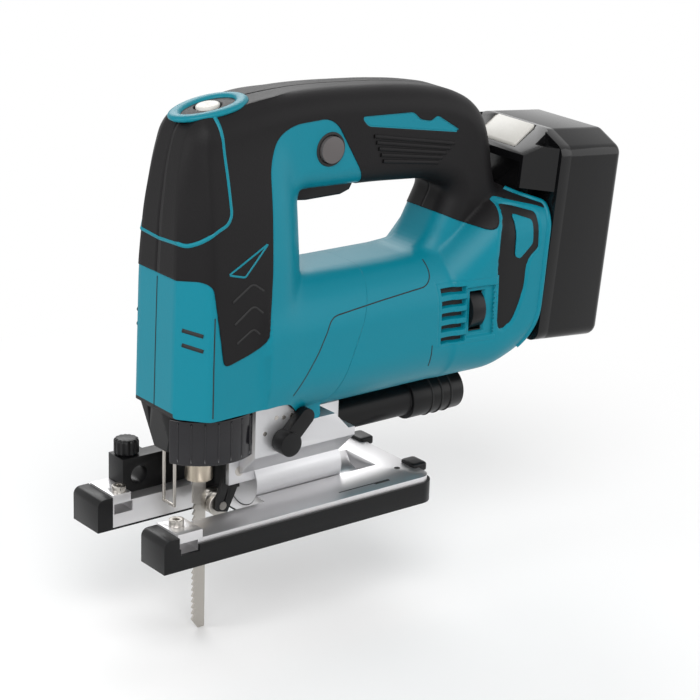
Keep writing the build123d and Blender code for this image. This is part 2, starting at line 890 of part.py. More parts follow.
# Crank gear and plunger
with BuildPart() as crank_gear:
    gear_prism(gear_teeth, 270 + 180 / gear_teeth, gear_z, gear_front, gear_front + gear_width)
    rod_x(gear_front + gear_width - 1, housing_plate_x - 0.3, 0, gear_z, crank_bearing_radius - 1)
    rod_x(gear_front + 1, plate_rear, 0, gear_z, arbor_radius)
    rod_x(rod_radius + 0.5, gear_front + 1, 0, yoke_z, crank_pin_radius)
crank_gear.part.label = "crank gear"
export_step(crank_gear.part, "parts/crank_gear.step")

slot_half_height = crank_pin_radius + sine_slack + moving_gap
slot_half_width = crank_radius + crank_pin_radius + 0.5
with BuildPart() as plunger_rod:
    rod_z(rod_bottom, rod_top, 0, 0, rod_radius)
    block(
        rod_radius - 2,
        gear_front - 1.8,
        -slot_half_width - 3,
        slot_half_width + 3,
        yoke_z - slot_half_height - 3.2,
        yoke_z + slot_half_height + 3.2,
    )
    block(
        rod_radius + 0.1,
        gear_front,
        -slot_half_width,
        slot_half_width,
        yoke_z - slot_half_height,
        yoke_z + slot_half_height,
        mode=Mode.SUBTRACT,
    )
plunger_rod.part.label = "plunger with yoke"
export_step(plunger_rod.part, "parts/plunger_rod.step")

with BuildPart() as blade_holder:
    rod_z(sleeve_bottom + 0.5, rod_bottom, 0, 0, holder_radius)
    block(
        -blade_width / 2 - 0.05,
        blade_width / 2 + 0.05,
        -blade_thickness / 2 - 0.05,
        blade_thickness / 2 + 0.05,
        sleeve_bottom,
        blade_top_z + 0.05,
        mode=Mode.SUBTRACT,
    )
blade_holder.part.label = "blade holder"
export_step(blade_holder.part, "parts/blade_holder.step")

tooth_count = int((tooth_start_z - blade_tip_z - 4) / tooth_pitch)
blade_edge = [(-blade_width / 2, tooth_start_z)]
for tooth in range(tooth_count):
    tooth_z = tooth_start_z - tooth * tooth_pitch
    blade_edge.append((tooth_depth - blade_width / 2, tooth_z - 0.25 * tooth_pitch))
    blade_edge.append((-blade_width / 2, tooth_z - tooth_pitch))
with BuildPart() as saw_blade:
    side_prism(
        [(-blade_width / 2, blade_top_z)]
        + blade_edge
        + [(0, blade_tip_z), (blade_width / 2, blade_tip_z), (blade_width / 2, blade_top_z)],
        -blade_thickness / 2,
        blade_thickness / 2,
    )
saw_blade.part.label = "saw blade"
export_step(saw_blade.part, "parts/saw_blade.step")

with BuildPart() as blade_clamp_sleeve:
    rod_z(sleeve_bottom, sleeve_top, 0, 0, sleeve_radius)
    rod_z(sleeve_bottom - 1, sleeve_top + 1, 0, 0, holder_radius + running_gap, mode=Mode.SUBTRACT)
blade_clamp_sleeve.part.label = "blade clamp sleeve"
export_step(blade_clamp_sleeve.part, "parts/blade_clamp_sleeve.step")

lever_inside = lever_radius - lever_thickness
arm_bottom = lever_top - 3
hub_outside = hub_radius + 2.4
with BuildPart() as blade_release_lever:
    sector_prism(lever_inside, lever_radius, lever_start, lever_end, lever_bottom, lever_top)
    sector_prism(hub_radius + 1, lever_inside + 1, lever_arm_start, lever_end, arm_bottom, lever_top)
    rod_z(arm_bottom - 1.5, lever_top, 0, 0, hub_outside)
    rod_z(arm_bottom - 3, lever_top + 1, 0, 0, hub_radius, mode=Mode.SUBTRACT)
blade_release_lever.part.label = "blade release lever"
export_step(blade_release_lever.part, "parts/blade_release_lever.step")

# Nose block under the front of the casing, with the wire guard and the lamp
block_top = [(-23.4, -13.6), (-13.2, -26.2), (-9.5, -26.2), (-9.5, 26.2), (-13.2, 26.2), (-23.4, 13.6)]
block_foot = [(-21.5, -5), (-18, -8.5), (-10.5, -8.5), (-10.5, 8.5), (-18, 8.5), (-21.5, 5)]
with BuildPart() as nose_block:
    with BuildSketch(Plane.XY.offset(nose_block_bottom)):
        with BuildLine():
            Polyline(*block_foot, close=True)
        make_face()
    with BuildSketch(Plane.XY.offset(nose_bottom)):
        with BuildLine():
            Polyline(*block_top, close=True)
        make_face()
    loft(ruled=True)
    sector_prism(
        lever_inside - moving_gap,
        far,
        lever_start - lever_swing - 4,
        lever_end,
        lever_bottom - 1,
        lever_top + moving_gap,
        mode=Mode.SUBTRACT,
    )
    sector_prism(
        hub_radius,
        lever_inside + 1,
        lever_arm_start - lever_swing - 4,
        lever_end,
        arm_bottom - moving_gap,
        lever_top + moving_gap,
        mode=Mode.SUBTRACT,
    )
    rod_z(arm_bottom - 2, lever_top + moving_gap, 0, 0, hub_outside + moving_gap, mode=Mode.SUBTRACT)
    for y in (-wire_y, wire_y):
        rod_z(nose_block_bottom - 1, wire_top, wire_x, y, wire_radius + 0.02, mode=Mode.SUBTRACT)
    rod_z(nose_block_bottom - 1, nose_block_bottom + 5, lamp_x, 0, lamp_radius + 0.05, mode=Mode.SUBTRACT)
nose_block.part.label = "nose block"
export_step(nose_block.part, "parts/nose_block.step")

with BuildPart() as blade_guard_wire:
    for y in (-wire_y, wire_y):
        rod_z(wire_bottom, wire_top, wire_x, y, wire_radius)
    rod_y(-wire_y, wire_y, wire_x, wire_bottom, wire_radius)
    for y in (-wire_y, wire_y):
        with Locations((wire_x, y, wire_bottom)):
            Sphere(wire_radius)
blade_guard_wire.part.label = "wire blade guard"
export_step(blade_guard_wire.part, "parts/blade_guard_wire.step")

with BuildPart() as led_lamp:
    rod_z(nose_block_bottom - 0.8, nose_block_bottom + 5, lamp_x, 0, lamp_radius)
led_lamp.part.label = "work lamp"
export_step(led_lamp.part, "parts/led_lamp.step")

# Blade support roller on its swinging retainer
with BuildPart() as roller_retainer:
    for y in (-cheek_inside - retainer_cheek, cheek_inside):
        side_prism(
            [
                (roller_x - 3.6, roller_z - 2),
                (roller_x + 2.6, roller_z - 3.6),
                (retainer_pivot_x + 4.4, retainer_pivot_z - 3),
                (retainer_pivot_x + 4.4, retainer_pivot_z + 4),
                (retainer_pivot_x - 4.4, retainer_pivot_z + 4),
                (roller_x - 3.6, roller_z + 3),
            ],
            y,
            y + retainer_cheek,
        )
    block(
        roller_x + 3,
        retainer_pivot_x + 4,
        -cheek_inside,
        cheek_inside,
        roller_z + roller_radius + 0.6,
        retainer_pivot_z + 3,
    )
    rod_y(-far, far, retainer_pivot_x, retainer_pivot_z, pivot_radius + running_gap, mode=Mode.SUBTRACT)
    rod_y(-far, far, roller_x, roller_z, roller_pin_radius + 0.02, mode=Mode.SUBTRACT)
roller_retainer.part.label = "roller retainer"
export_step(roller_retainer.part, "parts/roller_retainer.step")

with BuildPart() as retainer_pin:
    rod_y(-ear_outside, ear_outside, retainer_pivot_x, retainer_pivot_z, pivot_radius)
retainer_pin.part.label = "retainer pivot pin"
export_step(retainer_pin.part, "parts/retainer_pin.step")

with BuildPart() as roller_pin:
    rod_y(
        -cheek_inside - retainer_cheek,
        cheek_inside + retainer_cheek,
        roller_x,
        roller_z,
        roller_pin_radius,
    )
roller_pin.part.label = "roller pin"
export_step(roller_pin.part, "parts/roller_pin.step")

with BuildPart() as guide_roller:
    rod_y(-roller_width / 2, roller_width / 2, roller_x, roller_z, roller_radius)
    with BuildSketch(Plane.XY.offset(roller_z)) as groove:
        with Locations((roller_x + roller_radius, 0)):
            Rectangle(2 * (roller_radius - roller_groove_radius), blade_thickness + 0.7)
    revolve(
        groove.sketch,
        axis=Axis((roller_x, 0, roller_z), (0, 1, 0)),
        mode=Mode.SUBTRACT,
    )
    rod_y(-far, far, roller_x, roller_z, roller_pin_radius + running_gap, mode=Mode.SUBTRACT)
guide_roller.part.label = "blade support roller"
export_step(guide_roller.part, "parts/guide_roller.step")

# Orbital action lever on the left side
orbital_face = -bracket_half_width - moving_gap
lever_tip_x = orbital_x + orbital_length * cos(radians(45))
lever_tip_z = orbital_z + orbital_length * sin(radians(45))
arm_side = orbital_arm_half_width * cos(radians(45))
with BuildPart() as orbital_lever:
    rod_y(orbital_face - orbital_thickness, orbital_face, orbital_x, orbital_z, orbital_radius)
    rod_y(
        orbital_face - orbital_arm_thickness,
        orbital_face,
        lever_tip_x,
        lever_tip_z,
        orbital_arm_half_width,
    )
    side_prism(
        [
            (orbital_x + arm_side, orbital_z - arm_side),
            (lever_tip_x + arm_side, lever_tip_z - arm_side),
            (lever_tip_x - arm_side, lever_tip_z + arm_side),
            (orbital_x - arm_side, orbital_z + arm_side),
        ],
        orbital_face - orbital_arm_thickness,
        orbital_face,
    )
    rod_y(orbital_face, -14, orbital_x, orbital_z, orbital_pin_radius)
orbital_lever.part.label = "orbital action lever"
export_step(orbital_lever.part, "parts/orbital_lever.step")

# Switch, trigger and lock
with BuildPart() as switch_module:
    block(
        switch_front,
        switch_rear,
        -switch_half_width,
        switch_half_width,
        switch_bottom,
        switch_bottom + switch_height,
    )
switch_module.part.label = "switch module"
export_step(switch_module.part, "parts/switch_module.step")

trigger_rear = trigger_front + trigger_length
with BuildPart() as trigger:
    side_prism(
        [
            (trigger_front, switch_bottom - trigger_travel - moving_gap),
            (trigger_front + 0.6, trigger_bottom + 3.5),
            (trigger_front + 3, trigger_bottom + 0.6),
            (trigger_front + 8, trigger_bottom),
            (trigger_rear - 7, trigger_bottom),
            (trigger_rear - 2, trigger_bottom + 1.5),
            (trigger_rear, trigger_bottom + 5),
            (trigger_rear, switch_bottom - trigger_travel - moving_gap),
        ],
        -trigger_half_width,
        trigger_half_width,
    )
trigger.part.label = "trigger"
export_step(trigger.part, "parts/trigger.step")

flange_y = wall + 0.4 - handle_width / 2
with BuildPart() as lock_button:
    rod_y(-handle_width / 2 - 1.6, flange_y + 2, lock_x, lock_z, lock_radius)
    rod_y(flange_y, flange_y + 2, lock_x, lock_z, lock_radius + 1.5)
lock_button.part.label = "trigger lock button"
export_step(lock_button.part, "parts/lock_button.step")

# Electronics at the rear
with BuildPart() as control_board:
    block(board_x, board_rear, -27, 27, 74, 122)
    rod_x(dial_x + dial_width / 2 + 0.6, board_x, dial_y, dial_z, 4)
    rod_x(dial_x, board_rear - 1, dial_y, dial_z, dial_pin_radius + running_gap, mode=Mode.SUBTRACT)
control_board.part.label = "control board"
export_step(control_board.part, "parts/control_board.step")

with BuildPart() as speed_dial:
    rod_x(dial_x - dial_width / 2, dial_x + dial_width / 2, dial_y, dial_z, dial_radius)
    rod_x(dial_x, board_x, dial_y, dial_z, dial_pin_radius)
speed_dial.part.label = "speed dial"
export_step(speed_dial.part, "parts/speed_dial.step")

with BuildPart() as terminal_block:
    battery_block(hood_front - 6, hood_front, -16, 16, -30, 10)
    for y in (-terminal_y, terminal_y):
        battery_block(hood_front - 1, rail_head_rear - 0.6, y - 0.5, y + 0.5, -24, 0)
terminal_block.part.label = "battery terminals"
export_step(terminal_block.part, "parts/terminal_block.step")

with BuildPart() as housing_screws:
    for x, z in boss_places:
        rod_y(-8, screw_head_y, x, z, screw_radius)
        rod_y(screw_head_y, screw_head_y + 1.8, x, z, screw_head_radius)
housing_screws.part.label = "casing screws"
export_step(housing_screws.part, "parts/housing_screws.step")

# Dust nozzle behind the gear housing
nozzle_step = nozzle_end - 32
with BuildPart() as dust_nozzle:
    rod_x(foot_rear, nozzle_end - 10, 0, nozzle_z, nozzle_radius)
    rod_x(nozzle_step, nozzle_end, 0, nozzle_z, nozzle_end_radius)
    rod_x(foot_rear - 1, nozzle_end, 0, nozzle_z, nozzle_radius - nozzle_wall, mode=Mode.SUBTRACT)
    rod_x(nozzle_step + 4, nozzle_end + 1, 0, nozzle_z, nozzle_end_radius - nozzle_wall, mode=Mode.SUBTRACT)
dust_nozzle.part.label = "dust nozzle"
export_step(dust_nozzle.part, "parts/dust_nozzle.step")

# Tilting base: cast plate in a moulded shoe
plate_front = base_front + cap_depth
plate_back = base_rear - shoe_wall
plate_half = base_half_width - shoe_wall
pocket_radius = trough_radius + trough_wall + 3.2
with BuildPart() as clamp_pocket:
    rod_x(clamp_x - 8, clamp_x + 8, 0, tilt_axis_z, pocket_radius)
    rod_x(clamp_x - 9, clamp_x + 9, 0, tilt_axis_z, trough_radius + trough_wall, mode=Mode.SUBTRACT)
    block(clamp_x - 9, clamp_x + 9, -far, far, plate_top - 2.5, far, mode=Mode.SUBTRACT)

with BuildPart() as base_plate:
    block(plate_front, plate_back, -plate_half, plate_half, shoe_floor, plate_top)
    fillet(base_plate.edges().filter_by(Axis.Z).group_by(Axis.X)[-1], base_corner - shoe_wall)
    block(plate_front, prong_rear_left, -plate_half, -notch_left, plate_top - 1, prong_top)
    block(plate_front, prong_rear_right, notch_right, plate_half, plate_top - 1, prong_top)
    block(plate_front - 1, notch_end, -notch_left, notch_right, 0, 2 * prong_top, mode=Mode.SUBTRACT)
    add(clamp_pocket.part, mode=Mode.SUBTRACT)
    rod_x(trough_front - 1, trough_end, 0, tilt_axis_z, trough_radius, mode=Mode.SUBTRACT)
    block(
        clamp_x - clamp_bolt_radius - moving_gap,
        clamp_x + clamp_bolt_radius + moving_gap,
        -12.5,
        12.5,
        2,
        plate_top - 1,
        mode=Mode.SUBTRACT,
    )
    block(
        fence_slot_x - fence_slot_length / 2,
        fence_slot_x + fence_slot_length / 2,
        -far,
        far,
        fence_slot_z - fence_slot_height / 2,
        fence_slot_z + fence_slot_height / 2,
        mode=Mode.SUBTRACT,
    )
    for y in (fence_screw_left, fence_screw_right):
        rod_z(fence_slot_z, prong_top + 1, fence_slot_x, y, fence_screw_radius + 0.05, mode=Mode.SUBTRACT)
base_plate.part.label = "base plate"
export_step(base_plate.part, "parts/base_plate.step")

with BuildPart() as base_shoe:
    block(base_front, base_rear, -base_half_width, base_half_width, 0, shoe_height)
    fillet(base_shoe.edges().filter_by(Axis.Z).group_by(Axis.X)[-1], base_corner)
    block(base_front, plate_front, -base_half_width, base_half_width, 0, cap_top)
    with BuildSketch(Plane.XY.offset(shoe_floor)) as plate_seat:
        with Locations(((plate_front + plate_back) / 2, 0)):
            Rectangle(plate_back - plate_front, 2 * plate_half)
        fillet(plate_seat.vertices().group_by(Axis.X)[-1], base_corner - shoe_wall)
    extrude(plate_seat.sketch, amount=2 * cap_top, mode=Mode.SUBTRACT)
    block(base_front - 1, notch_end, -notch_left, notch_right, -1, 2 * cap_top, mode=Mode.SUBTRACT)
    block(
        fence_slot_x - fence_slot_length / 2,
        fence_slot_x + fence_slot_length / 2,
        -far,
        far,
        fence_slot_z - fence_slot_height / 2,
        fence_slot_z + fence_slot_height / 2,
        mode=Mode.SUBTRACT,
    )
    block(clamp_x - 8.4, clamp_x + 8.4, -16.5, 16.5, -1, shoe_floor, mode=Mode.SUBTRACT)
    fillet(base_shoe.edges().filter_by(Axis.Y).group_by(Axis.X)[0].group_by(Axis.Z)[-1], cap_round)
base_shoe.part.label = "base shoe"
export_step(base_shoe.part, "parts/base_shoe.step")

with BuildPart() as fence_screws:
    for y in (fence_screw_left, fence_screw_right):
        rod_z(fence_slot_z + fence_slot_height / 2 + 0.1, prong_top, fence_slot_x, y, fence_screw_radius)
        rod_z(prong_top, prong_top + 3, fence_slot_x, y, 2 * fence_screw_radius)
        with BuildSketch(Plane.XY.offset(prong_top + 1)) as socket:
            with Locations((fence_slot_x, y)):
                RegularPolygon(fence_screw_radius, 6)
        extrude(socket.sketch, amount=3, mode=Mode.SUBTRACT)
fence_screws.part.label = "fence screws"
export_step(fence_screws.part, "parts/fence_screws.step")

washer_inside = trough_radius + trough_wall + seat_gap
washer_outside = washer_inside + 1.3
with BuildPart() as base_clamp_plate:
    rod_x(clamp_x - 6, clamp_x + 6, 0, tilt_axis_z, washer_outside)
    rod_x(clamp_x - 7, clamp_x + 7, 0, tilt_axis_z, washer_inside, mode=Mode.SUBTRACT)
    block(clamp_x - 6, clamp_x + 6, -4, 4, 0, tilt_axis_z, mode=Mode.INTERSECT)
    rod_z(0, tilt_axis_z, clamp_x, 0, clamp_bolt_radius + 0.05, mode=Mode.SUBTRACT)
base_clamp_plate.part.label = "base clamp washer"
export_step(base_clamp_plate.part, "parts/base_clamp_plate.step")

head_top = tilt_axis_z - washer_outside
with BuildPart() as base_clamp_bolt:
    rod_z(head_top - 0.8, head_top, clamp_x, 0, 4)
    rod_z(head_top - 0.4, bolt_top, clamp_x, 0, clamp_bolt_radius)
base_clamp_bolt.part.label = "base clamp bolt"
export_step(base_clamp_bolt.part, "parts/base_clamp_bolt.step")

# Guide clamp on the right prong
with BuildPart() as guide_clamp_block:
    block(guide_front, guide_front + 16, guide_inside, plate_half, plate_top, guide_top)
    block(guide_front + 14, guide_front + 40, guide_inside, guide_inside + 8.5, plate_top, guide_top)
    rod_y(0, far, guide_front + 9, plate_top + 8, guide_bore_radius, mode=Mode.SUBTRACT)
    rod_z(plate_top + 8, guide_top + 1, knob_x, guide_y, knob_screw_radius + running_gap, mode=Mode.SUBTRACT)
guide_clamp_block.part.label = "guide clamp block"
export_step(guide_clamp_block.part, "parts/guide_clamp_block.step")

with BuildPart() as guide_clamp_knob:
    rod_z(guide_top + moving_gap, guide_top + 8, knob_x, guide_y, knob_radius)
    rod_z(guide_top - 4, guide_top + 1, knob_x, guide_y, knob_screw_radius)
guide_clamp_knob.part.label = "guide clamp knob"
export_step(guide_clamp_knob.part, "parts/guide_clamp_knob.step")

# Battery pack
battery_centre = (battery_shoulder + battery_bottom) / 2
pocket_depth = button_travel + button_plate / 2 + moving_gap
case_front = moving_gap
cell_columns = [3.4 + cell_radius, 3.4 + cell_radius + cell_pitch]
lean_x = (cos(radians(battery_lean)), 0, -sin(radians(battery_lean)))


def battery_section(depth, inset=0):
    # The pack's outline square to its depth: upright sides and a top that slopes down to both shoulders
    origin = battery_plane.from_local_coords((depth, 0, 0))
    side = battery_half_width - inset
    foot = battery_bottom + inset
    shoulder = battery_shoulder - inset
    top = battery_top - inset
    with BuildSketch(Plane(origin, x_dir=(0, 1, 0), z_dir=lean_x)) as outline:
        with BuildLine():
            Polyline(
                (-side, foot),
                (side, foot),
                (side, shoulder),
                (battery_crown, top),
                (-battery_crown, top),
                (-side, shoulder),
                close=True,
            )
        make_face()
        fillet(outline.vertices(), battery_corner - inset)
    return outline.sketch


def hood_line(depth):
    # Height of the sloping hood that carries the release button
    return button_foot + (depth - button_front) * button_rise


# Slanting flanks that run from the hood's sides out to the case
with BuildPart() as hood_flanks:
    flank_plane = Plane(
        battery_plane.from_local_coords((0, 0, flank_foot)),
        x_dir=battery_plane.x_dir,
        z_dir=battery_plane.z_dir,
    )
    for side in (-1, 1):
        with BuildSketch(flank_plane) as flank:
            with BuildLine():
                Polyline(
                    (hood_front, side * (hood_half_width - 2)),
                    (hood_front, side * hood_half_width),
                    (1, side * flank_half_width),
                    (1, side * (hood_half_width - 2)),
                    close=True,
                )
            make_face()
        extrude(flank.sketch, amount=battery_shoulder - flank_foot)
    battery_prism(
        [
            (hood_front - 1, hood_line(hood_front - 1)),
            (battery_seam, hood_line(battery_seam)),
            (battery_seam, hood_line(battery_seam) + 2),
            (hood_front - 1, hood_line(battery_seam) + 2),
        ],
        battery_half_width,
        mode=Mode.SUBTRACT,
    )

with BuildPart() as battery_case:
    extrude(battery_section(case_front), amount=battery_seam - case_front)
    extrude(battery_section(3.2, battery_wall), amount=battery_seam, mode=Mode.SUBTRACT)
    battery_block(rail_head_rear - 0.1, 1, -rail_half_width, rail_half_width, rail_bottom, hood_bottom + 1)
    battery_block(
        rail_head_front,
        rail_head_rear,
        -rail_head_half_width,
        rail_head_half_width,
        rail_bottom,
        hood_bottom + 1,
    )
    battery_block(hood_front, 1, -hood_half_width, hood_half_width, hood_bottom, battery_top)
    add(hood_flanks.part)
    battery_prism(
        [
            (hood_front - 1, hood_line(hood_front - 1)),
            (battery_seam, hood_line(battery_seam)),
            (battery_seam, hood_line(battery_seam) + 2),
            (hood_front - 1, hood_line(battery_seam) + 2),
        ],
        hood_half_width,
        mode=Mode.SUBTRACT,
    )
    battery_prism(
        [
            (button_front - moving_gap, hood_line(button_front - moving_gap) - pocket_depth),
            (button_rear + moving_gap, hood_line(button_rear + moving_gap) - pocket_depth),
            (button_rear + moving_gap, battery_top + 2),
            (button_front - moving_gap, battery_top + 2),
        ],
        button_half_width + moving_gap,
        mode=Mode.SUBTRACT,
    )
    for y in (-terminal_y, terminal_y):
        battery_block(
            rail_head_front - 1,
            rail_head_rear,
            y - 0.9,
            y + 0.9,
            rail_bottom - 1,
            2,
            mode=Mode.SUBTRACT,
        )
battery_case.part.label = "battery case"
export_step(battery_case.part, "parts/battery_case.step")

with BuildPart() as battery_cover:
    extrude(battery_section(battery_seam), amount=battery_depth - battery_seam)
    fillet(battery_cover.faces().sort_by(Axis.X)[-1].edges(), battery_corner - 1)
    extrude(
        battery_section(battery_seam, battery_wall),
        amount=battery_depth - battery_seam - 1.8,
        mode=Mode.SUBTRACT,
    )
battery_cover.part.label = "battery cover"
export_step(battery_cover.part, "parts/battery_cover.step")

with BuildPart() as battery_cells:
    for depth in cell_columns:
        for row in range(cell_rows):
            height = battery_centre + (row - (cell_rows - 1) / 2) * cell_pitch
            middle = battery_plane.from_local_coords((depth, -cell_length / 2, height))
            with Locations(Plane(middle, x_dir=(1, 0, 0), z_dir=(0, 1, 0)).location):
                Cylinder(cell_radius, cell_length, align=(Align.CENTER, Align.CENTER, Align.MIN))
battery_cells.part.label = "battery cells"
export_step(battery_cells.part, "parts/battery_cells.step")

with BuildPart() as battery_release_button:
    battery_prism(
        [
            (button_front, hood_line(button_front) - button_plate / 2),
            (button_rear, hood_line(button_rear) - button_plate / 2),
            (button_rear, hood_line(button_rear) + button_plate / 2),
            (button_front, hood_line(button_front) + button_plate / 2),
        ],
        button_half_width,
    )
battery_release_button.part.label = "battery release button"
export_step(battery_release_button.part, "parts/battery_release_button.step")
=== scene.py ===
import json
import math

import bpy
import numpy as np
from mathutils import Matrix, Vector


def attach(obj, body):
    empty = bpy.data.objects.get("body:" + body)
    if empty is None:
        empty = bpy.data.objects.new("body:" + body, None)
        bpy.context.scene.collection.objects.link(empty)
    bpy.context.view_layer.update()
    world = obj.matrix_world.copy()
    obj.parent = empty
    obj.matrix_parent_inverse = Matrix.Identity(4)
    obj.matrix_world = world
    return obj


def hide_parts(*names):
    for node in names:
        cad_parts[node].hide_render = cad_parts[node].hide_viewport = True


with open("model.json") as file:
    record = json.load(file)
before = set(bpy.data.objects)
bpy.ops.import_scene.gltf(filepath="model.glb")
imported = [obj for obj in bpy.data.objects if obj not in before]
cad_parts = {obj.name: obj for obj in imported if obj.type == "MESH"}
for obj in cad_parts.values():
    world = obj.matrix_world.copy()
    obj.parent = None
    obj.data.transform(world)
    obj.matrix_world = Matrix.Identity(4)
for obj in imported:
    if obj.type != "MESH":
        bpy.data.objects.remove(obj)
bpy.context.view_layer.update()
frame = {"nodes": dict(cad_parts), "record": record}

mm = 0.001


# small tools
def srgb(red, green, blue):
    # display value / 255 -> linear light, c/12.92 below the knee and ((c+0.055)/1.055)^2.4 above it
    c = np.array([red, green, blue]) / 255
    return tuple(np.where(c <= 0.04045, c / 12.92, ((c + 0.055) / 1.055) ** 2.4)) + (1.0,)


def smoothStep(low, high, t):
    # 0 below low, 1 above high, s*s*(3-2s) between
    s = np.clip((t - low) / (high - low), 0, 1)
    return s * s * (3 - 2 * s)


def softMax(a, b, blend):
    # rounded upper envelope: (a + b + sqrt((a-b)^2 + blend^2)) / 2
    return (a + b + np.sqrt((a - b) ** 2 + blend * blend)) / 2


def softMin(a, b, blend):
    # rounded lower envelope, the upper one turned over
    return -softMax(-a, -b, blend)


def softTable(places, values, spread=5.0, step=0.5):
    # straight lines through the given points, carried on past both ends, blurred by a Gaussian of that spread
    fine = np.arange(places[0] - 4 * spread, places[-1] + 4 * spread, step)
    firstSlope = (values[1] - values[0]) / (places[1] - places[0])
    lastSlope = (values[-1] - values[-2]) / (places[-1] - places[-2])
    line = np.interp(fine, places, values)
    line = line + np.where(fine < places[0], (fine - places[0]) * firstSlope, 0)
    line = line + np.where(fine > places[-1], (fine - places[-1]) * lastSlope, 0)
    reach = np.arange(-3 * spread, 3 * spread + 0.1, step)
    weight = np.exp(-0.5 * (reach / spread) ** 2)
    blurred = np.convolve(line, weight / weight.sum(), mode="same")
    keep = (fine >= places[0] - step) & (fine <= places[-1] + step)
    return lambda t: np.interp(t, fine[keep], blurred[keep])


def roundedLoop(points, radius, closed=True, step=0.8):
    # corners replaced by parabolas that start and end at radius from the corner, then even spacing
    p = np.array(points, float)
    r = np.broadcast_to(np.array(radius, float), (len(p),))
    before, after = np.roll(p, 1, 0), np.roll(p, -1, 0)
    toBefore, toAfter = before - p, after - p
    lenBefore = np.linalg.norm(toBefore, axis=1, keepdims=True)
    lenAfter = np.linalg.norm(toAfter, axis=1, keepdims=True)
    cut = np.minimum(r[:, None], 0.49 * np.minimum(lenBefore, lenAfter))
    if not closed:
        cut[0] = cut[-1] = 0
    start, end = p + toBefore / lenBefore * cut, p + toAfter / lenAfter * cut
    t = np.linspace(0, 1, 9)[None, :, None]
    curve = (1 - t) ** 2 * start[:, None] + 2 * t * (1 - t) * p[:, None] + t * t * end[:, None]
    return evenly(curve.reshape(-1, 2), closed, step)


def evenly(curve, closed, step):
    # the same line with points at equal arc length
    line = np.vstack([curve, curve[:1]]) if closed else curve
    run = np.r_[0, np.cumsum(np.linalg.norm(np.diff(line, axis=0), axis=1))]
    keep = np.r_[True, np.diff(run) > 1e-9]
    count = max(4, int(run[-1] / step))
    at = np.linspace(0, run[-1], count, endpoint=not closed)
    return np.stack([np.interp(at, run[keep], line[keep, k]) for k in range(line.shape[1])], 1)


def lineDistance(x, z, line, closed):
    # least distance from each point to the line's segments
    a = line if closed else line[:-1]
    b = np.roll(line, -1, 0) if closed else line[1:]
    flat = np.stack([x.ravel(), z.ravel()], 1)
    best = np.full(len(flat), 1e9)
    for i in range(0, len(a), 64):
        d = b[i:i + 64] - a[i:i + 64]
        w = flat[:, None] - a[None, i:i + 64]
        t = np.clip((w * d).sum(2) / ((d * d).sum(1) + 1e-12), 0, 1)
        best = np.minimum(best, np.linalg.norm(w - t[..., None] * d, axis=2).min(1))
    return best.reshape(x.shape)


def insideOf(x, z, line):
    # even-odd count of the edges to the right of each point
    x, z = np.asarray(x), np.asarray(z)
    odd = np.zeros(x.shape, bool)
    for (x0, z0), (x1, z1) in zip(line, np.roll(line, -1, 0)):
        if z0 != z1:
            odd ^= ((z0 > z) != (z1 > z)) & (x < (x1 - x0) * (z - z0) / (z1 - z0) + x0)
    return odd


def signedDistance(x, z, line):
    # distance to a closed line, negative inside it
    return np.where(insideOf(x, z, line), -1, 1) * lineDistance(x, z, line, True)


def gridFaces(rows, cols, wrapRows=False, wrapCols=False):
    # quads between neighbouring rows and columns
    i = np.arange(rows if wrapRows else rows - 1)
    j = np.arange(cols if wrapCols else cols - 1)
    a, b = np.meshgrid(i, j, indexing="ij")
    a2, b2 = (a + 1) % rows, (b + 1) % cols
    return np.stack([a * cols + b, a2 * cols + b, a2 * cols + b2, a * cols + b2], -1).reshape(-1, 4)


def addPiece(name, points, faces, material, body, slotName=None, stands=(), smooth=True,
             shadeFinish=None, shadeFaces=None):
    # points in millimetres; faces as an array of quads or a list; shadeFinish is a dark finish painted as shade on
    # the marked faces
    mesh = bpy.data.meshes.new(name)
    mesh.from_pydata((np.asarray(points) * mm).tolist(), [], [list(map(int, f)) for f in faces])
    mesh.validate()
    mesh.update()
    mesh.polygons.foreach_set("use_smooth", np.full(len(mesh.polygons), smooth))
    piece = bpy.data.objects.new(name, mesh)
    bpy.context.scene.collection.objects.link(piece)
    mesh.materials.append(material)
    if shadeFinish:
        mesh.materials.append(shadeFinish)
        mesh.polygons.foreach_set("material_index", np.asarray(shadeFaces, np.int32))
    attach(piece, body)
    if stands:
        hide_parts(*stands)
    return piece


def solidify(piece, thickness, offset=-1.0):
    # wall of the given thickness in millimetres, inwards at offset -1
    wallMod = piece.modifiers.new("wall", "SOLIDIFY")
    wallMod.thickness = thickness * mm
    wallMod.offset = offset
    wallMod.use_even_offset = False


